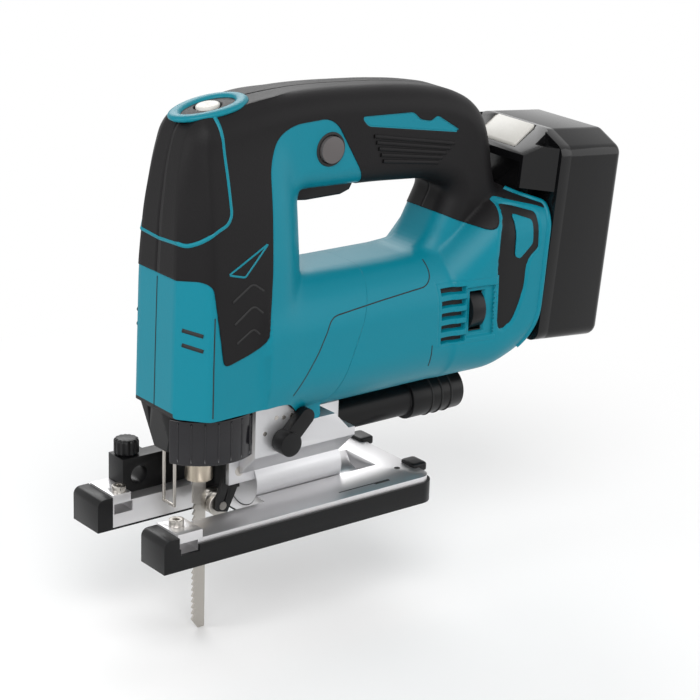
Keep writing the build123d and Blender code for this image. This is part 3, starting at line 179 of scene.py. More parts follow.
# finishes
def grainGroup():
    # fine moulded texture: two noises added as a height, and a slow roughness drift
    group = bpy.data.node_groups.new("mouldedGrain", "ShaderNodeTree")
    for socketName, default in (("Scale", 900.0), ("Drift", 0.06), ("Roughness", 0.4)):
        socket = group.interface.new_socket(socketName, in_out="INPUT", socket_type="NodeSocketFloat")
        socket.default_value = default
    for socketName in ("Height", "Rough"):
        group.interface.new_socket(socketName, in_out="OUTPUT", socket_type="NodeSocketFloat")
    nodes, links = group.nodes, group.links
    given, put = nodes.new("NodeGroupInput"), nodes.new("NodeGroupOutput")
    coord = nodes.new("ShaderNodeTexCoord")
    fine, slow = nodes.new("ShaderNodeTexNoise"), nodes.new("ShaderNodeTexNoise")
    fine.inputs["Detail"].default_value = 3.0
    slow.inputs["Scale"].default_value = 35.0
    for noise in (fine, slow):
        links.new(coord.outputs["Object"], noise.inputs["Vector"])
    links.new(given.outputs["Scale"], fine.inputs["Scale"])
    links.new(fine.outputs["Fac"], put.inputs["Height"])
    centred, scaled, summed = (nodes.new("ShaderNodeMath") for _ in range(3))
    centred.operation, scaled.operation, summed.operation = "SUBTRACT", "MULTIPLY", "ADD"
    links.new(slow.outputs["Fac"], centred.inputs[0])
    centred.inputs[1].default_value = 0.5
    links.new(centred.outputs[0], scaled.inputs[0])
    links.new(given.outputs["Drift"], scaled.inputs[1])
    links.new(scaled.outputs[0], summed.inputs[0])
    links.new(given.outputs["Roughness"], summed.inputs[1])
    links.new(summed.outputs[0], put.inputs["Rough"])
    return group


mouldedGrain = grainGroup()


def finish(name, colour, roughness, metallic=0.0, grain=900.0, bump=0.05, drift=0.08, coat=0.0, specular=0.5):
    # one Principled shader; the grain group drives roughness and a small bump
    material = bpy.data.materials.new(name)
    material.use_nodes = True
    nodes, links = material.node_tree.nodes, material.node_tree.links
    shader = nodes["Principled BSDF"]
    shader.inputs["Base Color"].default_value = colour
    shader.inputs["Metallic"].default_value = metallic
    shader.inputs["Coat Weight"].default_value = coat
    shader.inputs["Specular IOR Level"].default_value = specular
    group = nodes.new("ShaderNodeGroup")
    group.node_tree = mouldedGrain
    group.inputs["Scale"].default_value = grain
    group.inputs["Drift"].default_value = drift
    group.inputs["Roughness"].default_value = roughness
    relief = nodes.new("ShaderNodeBump")
    relief.inputs["Strength"].default_value = bump
    relief.inputs["Distance"].default_value = 0.4 * mm
    links.new(group.outputs["Height"], relief.inputs["Height"])
    links.new(relief.outputs["Normal"], shader.inputs["Normal"])
    links.new(group.outputs["Rough"], shader.inputs["Roughness"])
    return material


finishes = {
    "teal": finish("tealPlastic", srgb(0, 118, 136), 0.38, bump=0.10, specular=0.2),
    "tealTrim": finish("tealTrim", srgb(6, 118, 134), 0.38, specular=0.2),
    "rubber": finish("gripRubber", srgb(22, 21, 22), 0.48, grain=1400.0, bump=0.18, specular=0.13),
    "black": finish("blackPlastic", srgb(16, 16, 17), 0.34, bump=0.08, specular=0.2),
    "gloss": finish("glossBlack", srgb(12, 12, 13), 0.16, bump=0.03, specular=0.3),
    "smoke": finish("smokePlastic", srgb(20, 19, 23), 0.14, bump=0.02, specular=0.4),
    "cast": finish("castAluminium", srgb(196, 196, 198), 0.42, 0.85, grain=500.0, bump=0.10, drift=0.15),
    "milled": finish("milledAluminium", srgb(206, 205, 206), 0.34, 0.9, grain=700.0, bump=0.05, drift=0.15),
    "steel": finish("groundSteel", srgb(178, 174, 168), 0.28, metallic=1.0, grain=900.0, bump=0.04),
    "nickel": finish("nickelSleeve", srgb(186, 176, 160), 0.30, metallic=1.0, grain=900.0, bump=0.04),
    # dark seams and joints, and painted shade for slots, grooves, holes, the slit and the open underside
    "dark": finish("darkJointAndShade", srgb(10, 10, 11), 0.7, bump=0.0),
    "pale": finish("paleGrey", srgb(200, 198, 192), 0.4, bump=0.06),
    "bronze": finish("sinteredBronze", srgb(170, 130, 80), 0.4, metallic=1.0),
    "board": finish("boardGreen", srgb(24, 96, 52), 0.4),
    "stone": finish("stoneGrey", srgb(86, 82, 82), 0.42, bump=0.06, specular=0.3),
    "lamp": finish("lampLens", srgb(225, 230, 235), 0.12, bump=0.0),
}
slotFinish = {
    "teal_plastic": "teal", "grip_rubber": "rubber", "bezel_teal": "tealTrim", "button_grey": "pale",
    "black_plastic": "black", "smoke_plastic": "smoke", "cast_aluminium": "cast", "steel": "steel",
    "bronze": "bronze", "lamp_glass": "lamp", "board_green": "board",
}
print("finishes", len(finishes))

# CAD nodes: finishes and softened edges
edgeLook = {"weld": 0.002, "segments": 3, "bevelAngle": 32.0, "splitAngle": 38.0}
edgeRadius = {
    "gear_housing": 0.7, "base_plate": 0.6, "base_shoe": 0.9, "battery_case": 0.8, "battery_cover": 0.5,
    "battery_release_button": 1.2, "trigger": 1.6, "lock_button": 0.8, "orbital_lever": 1.1, "nose_block": 0.8,
    "guide_clamp_block": 1.0, "dust_nozzle": 0.5, "blade_clamp_sleeve": 0.4, "fence_screws": 0.3,
    "speed_dial": 0.3, "roller_retainer": 0.4, "guide_roller": 0.4, "blade_release_lever": 0.6,
}
nodeFinish = {
    "base_plate": "milled", "blade_clamp_sleeve": "nickel", "blade_holder": "nickel", "lock_button": "stone",
    "battery_cover": "gloss", "battery_case": "gloss", "speed_dial": "black", "roller_retainer": "dark",
    "trigger": "black",
}
for row in frame["record"]["subparts"]:
    node = frame["nodes"][row["node"]]
    node.data.materials.clear()
    node.data.materials.append(finishes[nodeFinish.get(row["node"], slotFinish[row["material_slot"]])])
    weld = node.modifiers.new("weld", "WELD")
    weld.merge_threshold = edgeLook["weld"] * mm
    if row["node"] in edgeRadius:
        bevel = node.modifiers.new("edge", "BEVEL")
        bevel.width = edgeRadius[row["node"]] * mm
        bevel.segments = edgeLook["segments"]
        bevel.limit_method = "ANGLE"
        bevel.angle_limit = math.radians(edgeLook["bevelAngle"])
        bevel.harden_normals = False
    node.data.polygons.foreach_set("use_smooth", np.ones(len(node.data.polygons), bool))
    split = node.modifiers.new("split", "EDGE_SPLIT")
    split.split_angle = math.radians(edgeLook["splitAngle"])
print("cad nodes", len(frame["nodes"]))

# casing skin, one half as a ring of rays about the hand opening
casing = {
    "centre": (86.0, 137.0), "rayCount": 760, "rowCount": 84, "bandRows": 6, "rimStep": 0.2,
    "levels": [63, 128, 156, 178, 192, 200],
    "back": [0.0, 1.4, 3.0, 6.0, 9.6, 13.4],
    "narrow": [0.0, 0.4, 4.2, 9.6, 14.4, 18.6],
    "flank": [30.0, 29.0, 25.5, 21.0, 17.0, 13.8],
    "front": -25.0, "cornerX": -14.0, "cornerBack": 0.5, "cornerHalf": 30.0, "flankX": 31.5, "rear": 45.5,
    "facetShare": 0.52, "facetBlend": 1.6, "taperShare": 0.5, "taperBlend": 5.0,
    "barrelZ": 85.5, "barrelHalf": 31.5, "barrelHeight": 34.0, "barrelCorner": 26.0,
    "barrelStart": 16.0, "barrelFall": 2.0, "sectionFall": 3.0,
    "flareX": [126, 152, 168, 178, 186], "flareLift": [1.0, 12.0, 16.5, 21.0, 24.0],
    "flareHalf": [31.5, 36.1, 37.0, 37.3, 37.3], "flareHeight": [34.0, 42.0, 39.0, 35.0, 31.0],
    "flareCorner": [24.0, 18.0, 17.0, 16.0, 15.0], "flareSpread": 4.0, "flareFall": 1.5,
    "handleHalf": 18.25, "handleEdge": 11.0, "inset": 0.5,
    "lipHalf": 7.25, "lipRise": 24.0, "lipReach": 15.0, "lipSlope": 1.5, "lipFrom": 13.0,
    "flareBlend": 3.0, "noseBlend": 3.5, "lipBlend": 1.0, "handleBlend": 2.5,
    "skirtHalf": 22.25, "skirtX": (24.0, 53.0), "skirtTop": 66.0, "skirtFall": 4.0,
    "lockHole": {"centre": (58.0, 177.0), "radius": 6.7},
    "bottom": {"before": 52.0, "below": 66.0, "plungerHole": 14.0},
}
outerLoop = roundedLoop(
    [(-25, 63), (-24.3, 95), (-23.4, 128), (-21.8, 156), (-18.8, 178), (-15.2, 191), (-10.5, 196.8), (6, 199.6),
     (22, 202.3), (36, 203.2), (48, 203.6), (63.5, 203.1), (93.5, 201), (114, 198.6), (134, 194.6), (147, 188.4),
     (154.5, 180.5), (159, 168), (161, 155), (163.5, 146), (170, 141.5), (180.2, 137.6), (175.2, 82), (169, 69),
     (155, 58.5), (140, 54), (126, 52.2), (110, 51.5), (52.5, 51.5), (52.5, 50), (45, 50), (30, 63.4), (24, 64)],
    [1.5, 8, 8, 8, 8, 6, 4, 6, 6, 6, 8, 8, 8, 8, 8, 8, 8, 8, 5, 3, 4, 1.5, 8, 8, 8, 8, 8, 8, 0.4, 1.2, 2.5, 3, 3],
)
handLoop = roundedLoop(
    [(42.4, 158), (43.6, 138), (45.0, 119.0), (80, 118.4), (118.5, 118.0), (134.2, 147), (121.5, 153.2), (90, 155.8)],
    [5, 8, 5, 8, 11, 5, 8, 8],
)


def noseHalf(x, z):
    # plan section at each height: front facet, side, and a taper to the hand opening, joined by soft minima
    c = casing
    back = softTable(c["levels"], c["back"])(z)
    half = c["cornerHalf"] - softTable(c["levels"], c["narrow"])(z)
    flank = softTable(c["levels"], c["flank"])(z)
    front, corner = c["front"] + back, c["cornerX"] + c["cornerBack"] * back
    share = c["facetShare"]
    facet = share * half + (x - front) * (1 - share) * half / (corner - front)
    side = half + (x - corner) * (flank - half) / (c["flankX"] - corner)
    taper = flank - (x - c["flankX"]) * c["taperShare"] * flank / (c["rear"] - c["flankX"])
    return softMin(softMin(facet, side, c["facetBlend"]), taper, c["taperBlend"])


def barrelHalf(x, z):
    # rounded rectangle section: corner centre plus sqrt(r^2 - rise^2), falling away past its ends
    c = casing
    rise = np.abs(z - c["barrelZ"])
    straight = c["barrelHeight"] - c["barrelCorner"]
    climb = np.clip(rise - straight, 0, c["barrelCorner"])
    half = c["barrelHalf"] - c["barrelCorner"] + np.sqrt(c["barrelCorner"] ** 2 - climb ** 2)
    past, ahead = np.clip(rise - c["barrelHeight"], 0, None), np.clip(c["barrelStart"] - x, 0, None)
    return half - c["sectionFall"] * past - c["barrelFall"] * ahead


def flareHalf(x, z):
    # the same section with its centre, size and corner changing along x towards the battery
    c = casing
    keys = ("flareLift", "flareHalf", "flareHeight", "flareCorner")
    lift, half, height, corner = (softTable(c["flareX"], c[key], c["flareSpread"])(x) for key in keys)
    rise = np.abs(z - c["barrelZ"] - lift)
    climb = np.clip(rise - height + corner, 0, corner)
    half = half - corner + np.sqrt(np.maximum(corner ** 2 - climb ** 2, 0))
    past, ahead = np.clip(rise - height, 0, None), np.clip(c["flareX"][0] - x, 0, None)
    return half - c["sectionFall"] * past - c["flareFall"] * ahead


def casingHalf(x, z, fromOuter, fromHand):
    # half width of the casing at a side-view point: soft upper envelope of nose, barrel, flare and handle,
    # held down to a quarter-round lip by the hand opening, and no less than the skirt that covers the top of
    # the bracket
    c = casing
    edge = c["handleEdge"]
    near = np.clip(edge - np.minimum(fromOuter, fromHand), 0, edge)
    handle = c["handleHalf"] - edge + np.sqrt(edge ** 2 - near ** 2)
    quarter = np.sqrt(1 - (1 - np.clip(fromHand / c["lipReach"], 0, 1)) ** 2)
    lip = c["lipHalf"] + c["lipRise"] * quarter + c["lipSlope"] * np.clip(fromHand - c["lipFrom"], 0, None)
    rear = softMax(barrelHalf(x, z), flareHalf(x, z), c["flareBlend"])
    solid = softMax(noseHalf(x, z), rear, c["noseBlend"])
    beside = np.clip(c["skirtX"][0] - x, 0, None) + np.clip(x - c["skirtX"][1], 0, None)
    skirt = c["skirtHalf"] - c["skirtFall"] * (np.clip(z - c["skirtTop"], 0, None) + beside)
    return np.maximum(softMax(softMin(solid, lip, c["lipBlend"]), handle, c["handleBlend"]) - c["inset"], skirt)


def halfWidthAt(x, z):
    # the casing's half width with both edge distances measured
    return casingHalf(x, z, lineDistance(x, z, outerLoop, True), lineDistance(x, z, handLoop, True))


def rayRing():
    # rays from the hand opening to the outline; rows crowd together at both ends by (1-cos)/2
    c = casing
    cx, cz = c["centre"]
    rim = evenly(outerLoop, True, c["rimStep"])
    rim = rim[np.linspace(0, len(rim), c["rayCount"], endpoint=False).astype(int)]
    angle = np.arctan2(rim[:, 1] - cz, rim[:, 0] - cx)
    reach = np.hypot(rim[:, 0] - cx, rim[:, 1] - cz)
    handAngle = np.arctan2(handLoop[:, 1] - cz, handLoop[:, 0] - cx)
    handReach = np.hypot(handLoop[:, 0] - cx, handLoop[:, 1] - cz)
    order = np.argsort(handAngle)
    inner = np.interp(angle, handAngle[order], handReach[order], period=2 * np.pi)
    share = (1 - np.cos(np.pi * np.linspace(0, 1, c["rowCount"]))) / 2
    radius = inner[:, None] + share[None] * (reach - inner)[:, None]
    x = cx + np.cos(angle)[:, None] * radius
    z = cz + np.sin(angle)[:, None] * radius
    y = halfWidthAt(x, z)
    band = np.linspace(0, 1, c["bandRows"], endpoint=False)
    x = np.hstack([np.repeat(x[:, :1], len(band), 1), x, np.repeat(x[:, -1:], len(band), 1)])
    z = np.hstack([np.repeat(z[:, :1], len(band), 1), z, np.repeat(z[:, -1:], len(band), 1)])
    y = np.hstack([y[:, :1] * band, y, y[:, -1:] * band[::-1]])
    return np.stack([x, y, z], -1)


ring = rayRing()
du = np.roll(ring, -1, 0) - np.roll(ring, 1, 0)
dv = np.gradient(ring, axis=1)
ringNormal = np.cross(du, dv)
ringNormal /= np.linalg.norm(ringNormal, axis=2, keepdims=True) + 1e-9
middle = casing["bandRows"] + casing["rowCount"] // 2
if np.mean(ringNormal[:, middle, 1]) < 0:
    ringNormal = -ringNormal
print("casing ring", ring.shape)

# soft grip: its side-view outline, and the teal inlay left open in the handle
gripEdge = {
    "thick": 1.0, "proud": -0.3, "lift": 0.3, "recess": 0.9, "recessEdge": (0.1, 1.2),
    "well": {"x": 2.6, "reach": 7.0, "fade": 3.0, "above": 190.0, "depth": 1.6},
    "outline": [(-40, 126), (-16, 128.5), (-12.8, 126), (-7, 88), (7.4, 92), (15.4, 95.5), (18.4, 113), (20.3, 142),
                (22.2, 175), (27.5, 186.5), (37, 191), (56, 191.5), (62, 188), (78, 161), (82, 150), (119, 150),
                (122, 138.5), (138, 131), (149, 127.5), (155.5, 141.5), (173, 137.5), (190, 131), (190, 150),
                (180, 215), (-40, 215)],
    "corner": [0.5, 2, 2, 3, 5, 5, 5, 9, 9, 7, 5, 5, 5, 8, 3, 3, 4, 5, 5, 3, 3, 0.5, 0.5, 0.5, 0.5],
    "inlay": [(75, 190), (106, 188.5), (110, 184.5), (117, 183), (120, 185.5), (137, 175), (79, 185)],
    "inlayCorner": [2, 2, 2, 2, 2, 3, 2],
}
gripLoop = roundedLoop(gripEdge["outline"], gripEdge["corner"])
inlayLoop = roundedLoop(gripEdge["inlay"], gripEdge["inlayCorner"])


def gripDistance(x, z):
    # negative under the soft grip, with the handle inlay left out
    return np.maximum(signedDistance(x, z, gripLoop), -signedDistance(x, z, inlayLoop))


ringGrip = gripDistance(ring[..., 0], ring[..., 2])


def trimmed(points, distance):
    # keeps the grid where distance < 0; points just outside slide along the grid lines to distance = 0
    inside = distance < 0
    total = np.zeros(points.shape)
    hits = np.zeros(distance.shape)
    for axis, shift in ((0, 1), (0, -1), (1, 1), (1, -1)):
        otherD, otherP = np.roll(distance, shift, axis), np.roll(points, shift, axis)
        use = ~inside & (otherD < 0)
        if axis == 1:
            use[:, 0 if shift == 1 else -1] = False
        share = np.where(use, otherD / (otherD - distance + 1e-12), 0)
        total += np.where(use[..., None], otherP + (points - otherP) * share[..., None], 0)
        hits += use
    snapped = hits > 0
    placed = np.where(snapped[..., None], total / np.maximum(hits, 1)[..., None], points)
    good = (inside | snapped).ravel()
    quads = gridFaces(*distance.shape, wrapRows=True)
    ok = good[quads]
    some = inside.ravel()[quads].any(1)
    faces = [list(q) for q in quads[ok.all(1) & some]]
    three = (ok.sum(1) == 3) & some
    faces += [[v for v, g in zip(q, o) if g] for q, o in zip(quads[three], ok[three])]
    return placed.reshape(-1, 3), faces


def sided(points, faces, side):
    # the far half is the near half mirrored in y, with its faces turned over
    turned = np.array(points, float)
    turned[..., 1] *= side
    return turned.reshape(-1, 3), ([f[::-1] for f in faces] if side > 0 else faces)


sideName = {-1: "Left", 1: "Right"}
ventPatch = {
    "low": (114.5, 74.0), "high": (149.0, 107.0), "step": 0.25, "margin": 1.6, "sideFrom": 15.0,
    "sink": 0.4, "sinkEdge": (0.8, 1.6), "groove": 0.45, "grooveEdge": (-0.2, 0.9), "grooveWidth": 1.2,
    "slots": [78, 84, 90, 96, 102], "slotX": (117.5, 131.0), "slotHalf": 1.5, "depth": 3.2, "wall": 0.3,
    "dish": (132.0, 147.5, 78.0, 102.0), "dishDepth": 1.5, "dishEdge": (-1.0, 0.6), "shadeFrom": 2.6,
    "window": (133.8, 142.2, 79.6, 100.4), "windowDepth": 3.6, "windowOpen": 0.5,
}


def ventInset(x, z):
    # distance inwards from the nearest side of the vent patch, negative outside it
    (x0, z0), (x1, z1) = ventPatch["low"], ventPatch["high"]
    return np.minimum(np.minimum(x - x0, x1 - x), np.minimum(z - z0, z1 - z))


rearPanel = {
    "outline": [(156, 140), (162, 139), (172.5, 135.5), (173, 117), (168, 113.5), (166, 110), (164.5, 96),
                (158, 81.5), (150, 78), (148, 87), (148, 117), (150, 128)],
    "corner": [2, 2, 2, 2, 3, 3, 6, 5, 3, 5, 8, 5],
    "sideFrom": 12.0, "sink": 1.5, "sinkEdge": (-0.3, 1.0), "lift": -0.9, "sheet": 0.6,
    "badge": [(158.8, 135.6), (168.6, 131.8), (168.6, 120), (161, 113.4), (158, 115)],
    "badgeCorner": 1.2, "badgeLift": -0.35,
}
panelLoop = roundedLoop(rearPanel["outline"], rearPanel["corner"])
badgeLoop = roundedLoop(rearPanel["badge"], rearPanel["badgeCorner"])


def loopDistance(loop, sideFrom, outside=9.0):
    # signed distance of the ring's points to a side-view loop; the edge bands near y = 0 count as outside
    return np.where(ring[..., 1] > sideFrom, signedDistance(ring[..., 0], ring[..., 2], loop), outside)


ringPanel = loopDistance(panelLoop, rearPanel["sideFrom"])


def shellHalf(side):
    # the ring less a depth along its normals, in smooth steps under the grip, the vent patch and the rear panel;
    # open at the lock button, with a dark band of painted shade closing the underside below the nose, leaving room
    # for the plunger
    c, g, v, lock, foot = casing, gripEdge, ventPatch, casing["lockHole"], casing["bottom"]
    x, z = ring[..., 0], ring[..., 2]
    inPatch = np.where(ring[..., 1] > v["sideFrom"], ventInset(x, z), -1)
    sunk = g["recess"] * smoothStep(*g["recessEdge"], -ringGrip)
    sunk = sunk + v["sink"] * smoothStep(*v["sinkEdge"], inPatch)
    sunk = np.maximum(sunk, rearPanel["sink"] * smoothStep(*rearPanel["sinkEdge"], -ringPanel))
    points = ring - ringNormal * sunk[..., None]
    points[:, 0, 1] = points[:, -1, 1] = 0
    hole = np.full(x.shape, -1.0)
    if side < 0:
        hole = lock["radius"] - np.hypot(x - lock["centre"][0], z - lock["centre"][1])
    placed, faces = trimmed(points, hole)
    outerBand = np.arange(x.size) % x.shape[1] >= c["bandRows"] + c["rowCount"] - 1
    bottom = outerBand & ((x < foot["before"]) & (z < foot["below"])).ravel()
    atPlunger = bottom & (np.hypot(placed[:, 0], placed[:, 1]) < foot["plungerHole"])
    gone = (inPatch.ravel() > v["margin"]) | atPlunger
    faces = [f for f in faces if not gone[f].all()]
    # painted shade: faces of the bottom band below the nose take the dark finish
    shadedUnderside = [bottom[f].all() for f in faces]
    points, faces = sided(placed, faces, side)
    addPiece("casing" + sideName[side], points, faces, finishes["teal"], "body", "teal_plastic",
             ["housing_" + sideName[side].lower()], shadeFinish=finishes["dark"], shadeFaces=shadedUnderside)


def gripHalf(side):
    # the ring under the grip, lowered below the power button by a round well that fades out at its edge
    g, w = gripEdge, gripEdge["well"]
    away = np.hypot(ring[..., 0] - w["x"], ring[..., 1])
    well = w["depth"] * (1 - smoothStep(w["reach"], w["reach"] + w["fade"], away))
    drop = np.where(ring[..., 2] > w["above"], well, 0)
    lowered = ring - drop[..., None] * np.array([0.0, 0.0, 1.0])
    points, faces = sided(*trimmed(lowered, ringGrip), side)
    piece = addPiece("grip" + sideName[side], points, faces, finishes["rubber"], "body", "grip_rubber",
                     ["grip_" + sideName[side].lower()])
    solidify(piece, g["thick"], g["proud"])


def skinPatch(name, loop, lift, thick, finishName, slotName, sideFrom=8.0):
    # the part of the ring inside a side-view loop, moved by lift along its normals; made for both sides
    distance = loopDistance(loop, sideFrom)
    for side in (-1, 1):
        points, faces = sided(*trimmed(ring + ringNormal * lift, distance), side)
        solidify(addPiece(name + sideName[side], points, faces, finishes[finishName], "body", slotName), thick)


def tube(path, radius, closed=False, sides=10, guide=(0.0, 1.0, 0.0)):
    # a circle of the given radius carried along a path; the frame is tangent x guide; flat end fans
    p = np.asarray(path, float)
    tangent = np.roll(p, -1, 0) - np.roll(p, 1, 0) if closed else np.gradient(p, axis=0)
    tangent /= np.linalg.norm(tangent, axis=1, keepdims=True) + 1e-12
    across = np.cross(tangent, np.asarray(guide, float))
    across /= np.linalg.norm(across, axis=1, keepdims=True) + 1e-12
    along = np.cross(tangent, across)
    turn = np.linspace(0, 2 * np.pi, sides, endpoint=False)[None, :, None]
    rings = p[:, None] + radius * (np.cos(turn) * across[:, None] + np.sin(turn) * along[:, None])
    faces = [list(f[::-1]) for f in gridFaces(len(p), sides, wrapRows=closed, wrapCols=True)]
    if not closed:
        faces += [list(range(sides)), [(len(p) - 1) * sides + k for k in range(sides)][::-1]]
    return rings.reshape(-1, 3), faces


def joined(parts):
    # several point and face sets as one
    points, faces, start = [], [], 0
    for p, f in parts:
        points.append(np.asarray(p).reshape(-1, 3))
        faces += [[int(v) + start for v in face] for face in f]
        start += len(points[-1])
    return np.vstack(points), faces


def onSide(line, lift=0.0):
    # side-view points put on the near skin, y = -(half width + lift)
    x, z = line[:, 0], line[:, 1]
    return np.stack([x, -halfWidthAt(x, z) - lift, z], 1)


def bothSides(path):
    # a path and its mirror image in y
    return [path, path * np.array([1.0, -1.0, 1.0])]


frontRim = outerLoop[outerLoop[:, 0] < -8]
frontRim = frontRim[np.argsort(frontRim[:, 1])]


def frontX(z):
    # x of the casing's front edge at a height
    return np.interp(z, frontRim[:, 1], frontRim[:, 0])


for side in (-1, 1):
    shellHalf(side)
    gripHalf(side)
skinPatch("rearPanel", panelLoop, rearPanel["lift"], rearPanel["sheet"], "black", "grip_rubber")
skinPatch("rearBadge", badgeLoop, rearPanel["badgeLift"], rearPanel["sheet"], "teal", "teal_plastic")
print("casing and grips")

# piping, seams and slits that lie on the skin
trimLines = {
    "stripe": {"radius": 1.25, "sink": 0.6, "step": 0.8, "guide": (-0.57, 0.0, 0.82),
               "front": [(0.0, 143.4), (-14.2, 144.2)],
               "side": [(-22.3, 144.4), (-19.8, 143.4), (-16.3, 145.2), (-10.9, 149.8), (-3.6, 152.6), (-1.2, 156.2),
                        (-1.2, 172), (-1.6, 184), (-2.0, 192), (-2.2, 198.5)]},
    "panelSeam": {"radius": 0.32, "sink": 0.12,
                  "side": [(30.9, 67.4), (43.8, 85.2), (52.0, 101.5), (80.9, 104), (108.6, 105.9), (112.2, 108),
                           (114.2, 111.6), (114.5, 116)]},
    "cornerSeam": {"radius": 0.32, "sink": 0.12, "side": [(-12.0, 112), (-12.5, 88), (-12.7, 65)]},
    "bellySeam": {"radius": 0.32, "sink": 0.12, "side": [(112.0, 77), (112.3, 66)]},
    "centreSeam": {"radius": 0.3, "sink": 0.05, "low": 64.0, "high": 126.0, "count": 60},
    "slit": {"radius": 0.55, "sink": 0.2, "corner": 0.8, "shadeLift": 0.32, "shadeThick": 0.3,
             "loop": [(-4.8, 130.6), (17.6, 141.3), (3.9, 128.2)]},
    "chevron": {"radius": 0.55, "sink": 0.15, "corner": 2.5,
                "lines": [[(-2.9, 117.8), (8.1, 124.8), (14.1, 120.3)],
                          [(-1.7, 107.3), (8.6, 114.5), (13.6, 110.2)],
                          [(-0.5, 98.2), (8.7, 103.8), (11.8, 100.6)]]},
    "frontVent": {"radius": 1.15, "sink": 0.95, "step": 0.6,
                  "lines": [[(-21.6, 105.2), (-15.6, 103.4)], [(-21.7, 98.4), (-15.6, 96.4)]]},
}
seamCorner = 4.0


def trimTubes(name, paths, radius, finishName, slotName, guide=(0.0, 1.0, 0.0), closed=False):
    # one piece of tubes along the paths and their mirror images
    parts = [tube(p, radius, closed, guide=guide) for path in paths for p in bothSides(path)]
    addPiece(name, *joined(parts), finishes[finishName], "body", slotName)


def makeSeams():
    # thin dark tubes sunk in the skin, three on each side and one down the front
    for name in ("panelSeam", "cornerSeam", "bellySeam"):
        seam = trimLines[name]
        line = roundedLoop(seam["side"], seamCorner, closed=False)
        trimTubes(name, [onSide(line, -seam["sink"])], seam["radius"], "dark", "teal_plastic")
    c = trimLines["centreSeam"]
    z = np.linspace(c["low"], c["high"], c["count"])
    path = np.stack([frontX(z) + c["sink"], 0 * z, z], 1)
    addPiece("centreSeam", *tube(path, c["radius"]), finishes["dark"], "body", "teal_plastic")


def makeStripe():
    # from the middle of the front round the corner, then back and up the side, as one evenly spaced path
    s = trimLines["stripe"]
    front = roundedLoop(s["front"], 0.0, closed=False)
    front = np.stack([frontX(front[:, 1]) + s["sink"], front[:, 0], front[:, 1]], 1)
    side = onSide(roundedLoop(s["side"], seamCorner, closed=False), -s["sink"])
    path = evenly(np.vstack([front, side]), False, s["step"])
    trimTubes("noseStripe", [path], s["radius"], "tealTrim", "bezel_teal", guide=s["guide"])


def makeTongue():
    # a teal bead round a slit filled by a dark sheet of painted shade, and chevrons, on the face of the grip
    lift, s, h = gripEdge["lift"], trimLines["slit"], trimLines["chevron"]
    loop = roundedLoop(s["loop"], s["corner"])
    trimTubes("tongueSlit", [onSide(loop, lift - s["sink"])], s["radius"], "tealTrim", "bezel_teal", closed=True)
    # painted shade: a dark sheet laid inside the slit
    skinPatch("tongueSlitShade", loop, s["shadeLift"], s["shadeThick"], "dark", "grip_rubber")
    lines = [roundedLoop(line, h["corner"], closed=False) for line in h["lines"]]
    paths = [onSide(line, lift - h["sink"]) for line in lines]
    trimTubes("tongueChevrons", paths, h["radius"], "dark", "grip_rubber")


def makeFrontVents():
    # short dark tubes almost wholly sunk in the front corners, painted as the shade in the vent openings
    f = trimLines["frontVent"]
    paths = [onSide(evenly(np.array(line), False, f["step"]), -f["sink"]) for line in f["lines"]]
    trimTubes("frontVentShade", paths, f["radius"], "dark", "black_plastic", guide=(0.0, 0.0, 1.0))


makeSeams()
makeStripe()
makeTongue()
makeFrontVents()

# ribs moulded in the side of the handle
handleRibs = {"count": 5, "radius": 1.15, "sink": 0.35, "step": 1.0,
              "front": [(82.0, 181.5), (89.0, 166.0)], "rear": [(132.5, 171.5), (120.5, 161.5)]}


def makeHandleRibs():
    # ribs run between two slanting lines, at equal shares down them
    h = handleRibs
    share = ((np.arange(h["count"]) + 0.5) / h["count"])[:, None]
    (frontTop, frontFoot), (rearTop, rearFoot) = np.array(h["front"]), np.array(h["rear"])
    starts = frontTop + share * (frontFoot - frontTop)
    ends = rearTop + share * (rearFoot - rearTop)
    lines = [evenly(np.stack([a, b]), False, h["step"]) for a, b in zip(starts, ends)]
    paths = [onSide(line, gripEdge["lift"] - h["sink"]) for line in lines]
    trimTubes("handleRibs", paths, h["radius"], "rubber", "grip_rubber")


makeHandleRibs()

# rim of the battery mount
rimLine = {"radius": 1.5, "inset": 1.2, "sink": 0.6, "step": 1.0, "behind": 166.0, "low": 66.0, "high": 142.5}


def makeRim():
    # the outline's rear edge from top to bottom, moved forwards by the inset and laid on both sides
    r = rimLine
    x, z = outerLoop[:, 0], outerLoop[:, 1]
    line = outerLoop[(x > r["behind"]) & (z < r["high"]) & (z > r["low"])]
    line = line[np.argsort(-line[:, 1])] - np.array([r["inset"], 0.0])
    path = evenly(onSide(line, -r["sink"]), False, r["step"])
    trimTubes("mountRim", [path], r["radius"], "teal", "teal_plastic", guide=(1.0, 0.0, 0.0))


makeRim()


def rectangleField(x, z, x0, x1, z0, z1):
    # negative inside the rectangle, the larger of the two overshoots outside
    return np.maximum(np.abs(x - (x0 + x1) / 2) - (x1 - x0) / 2, np.abs(z - (z0 + z1) / 2) - (z1 - z0) / 2)


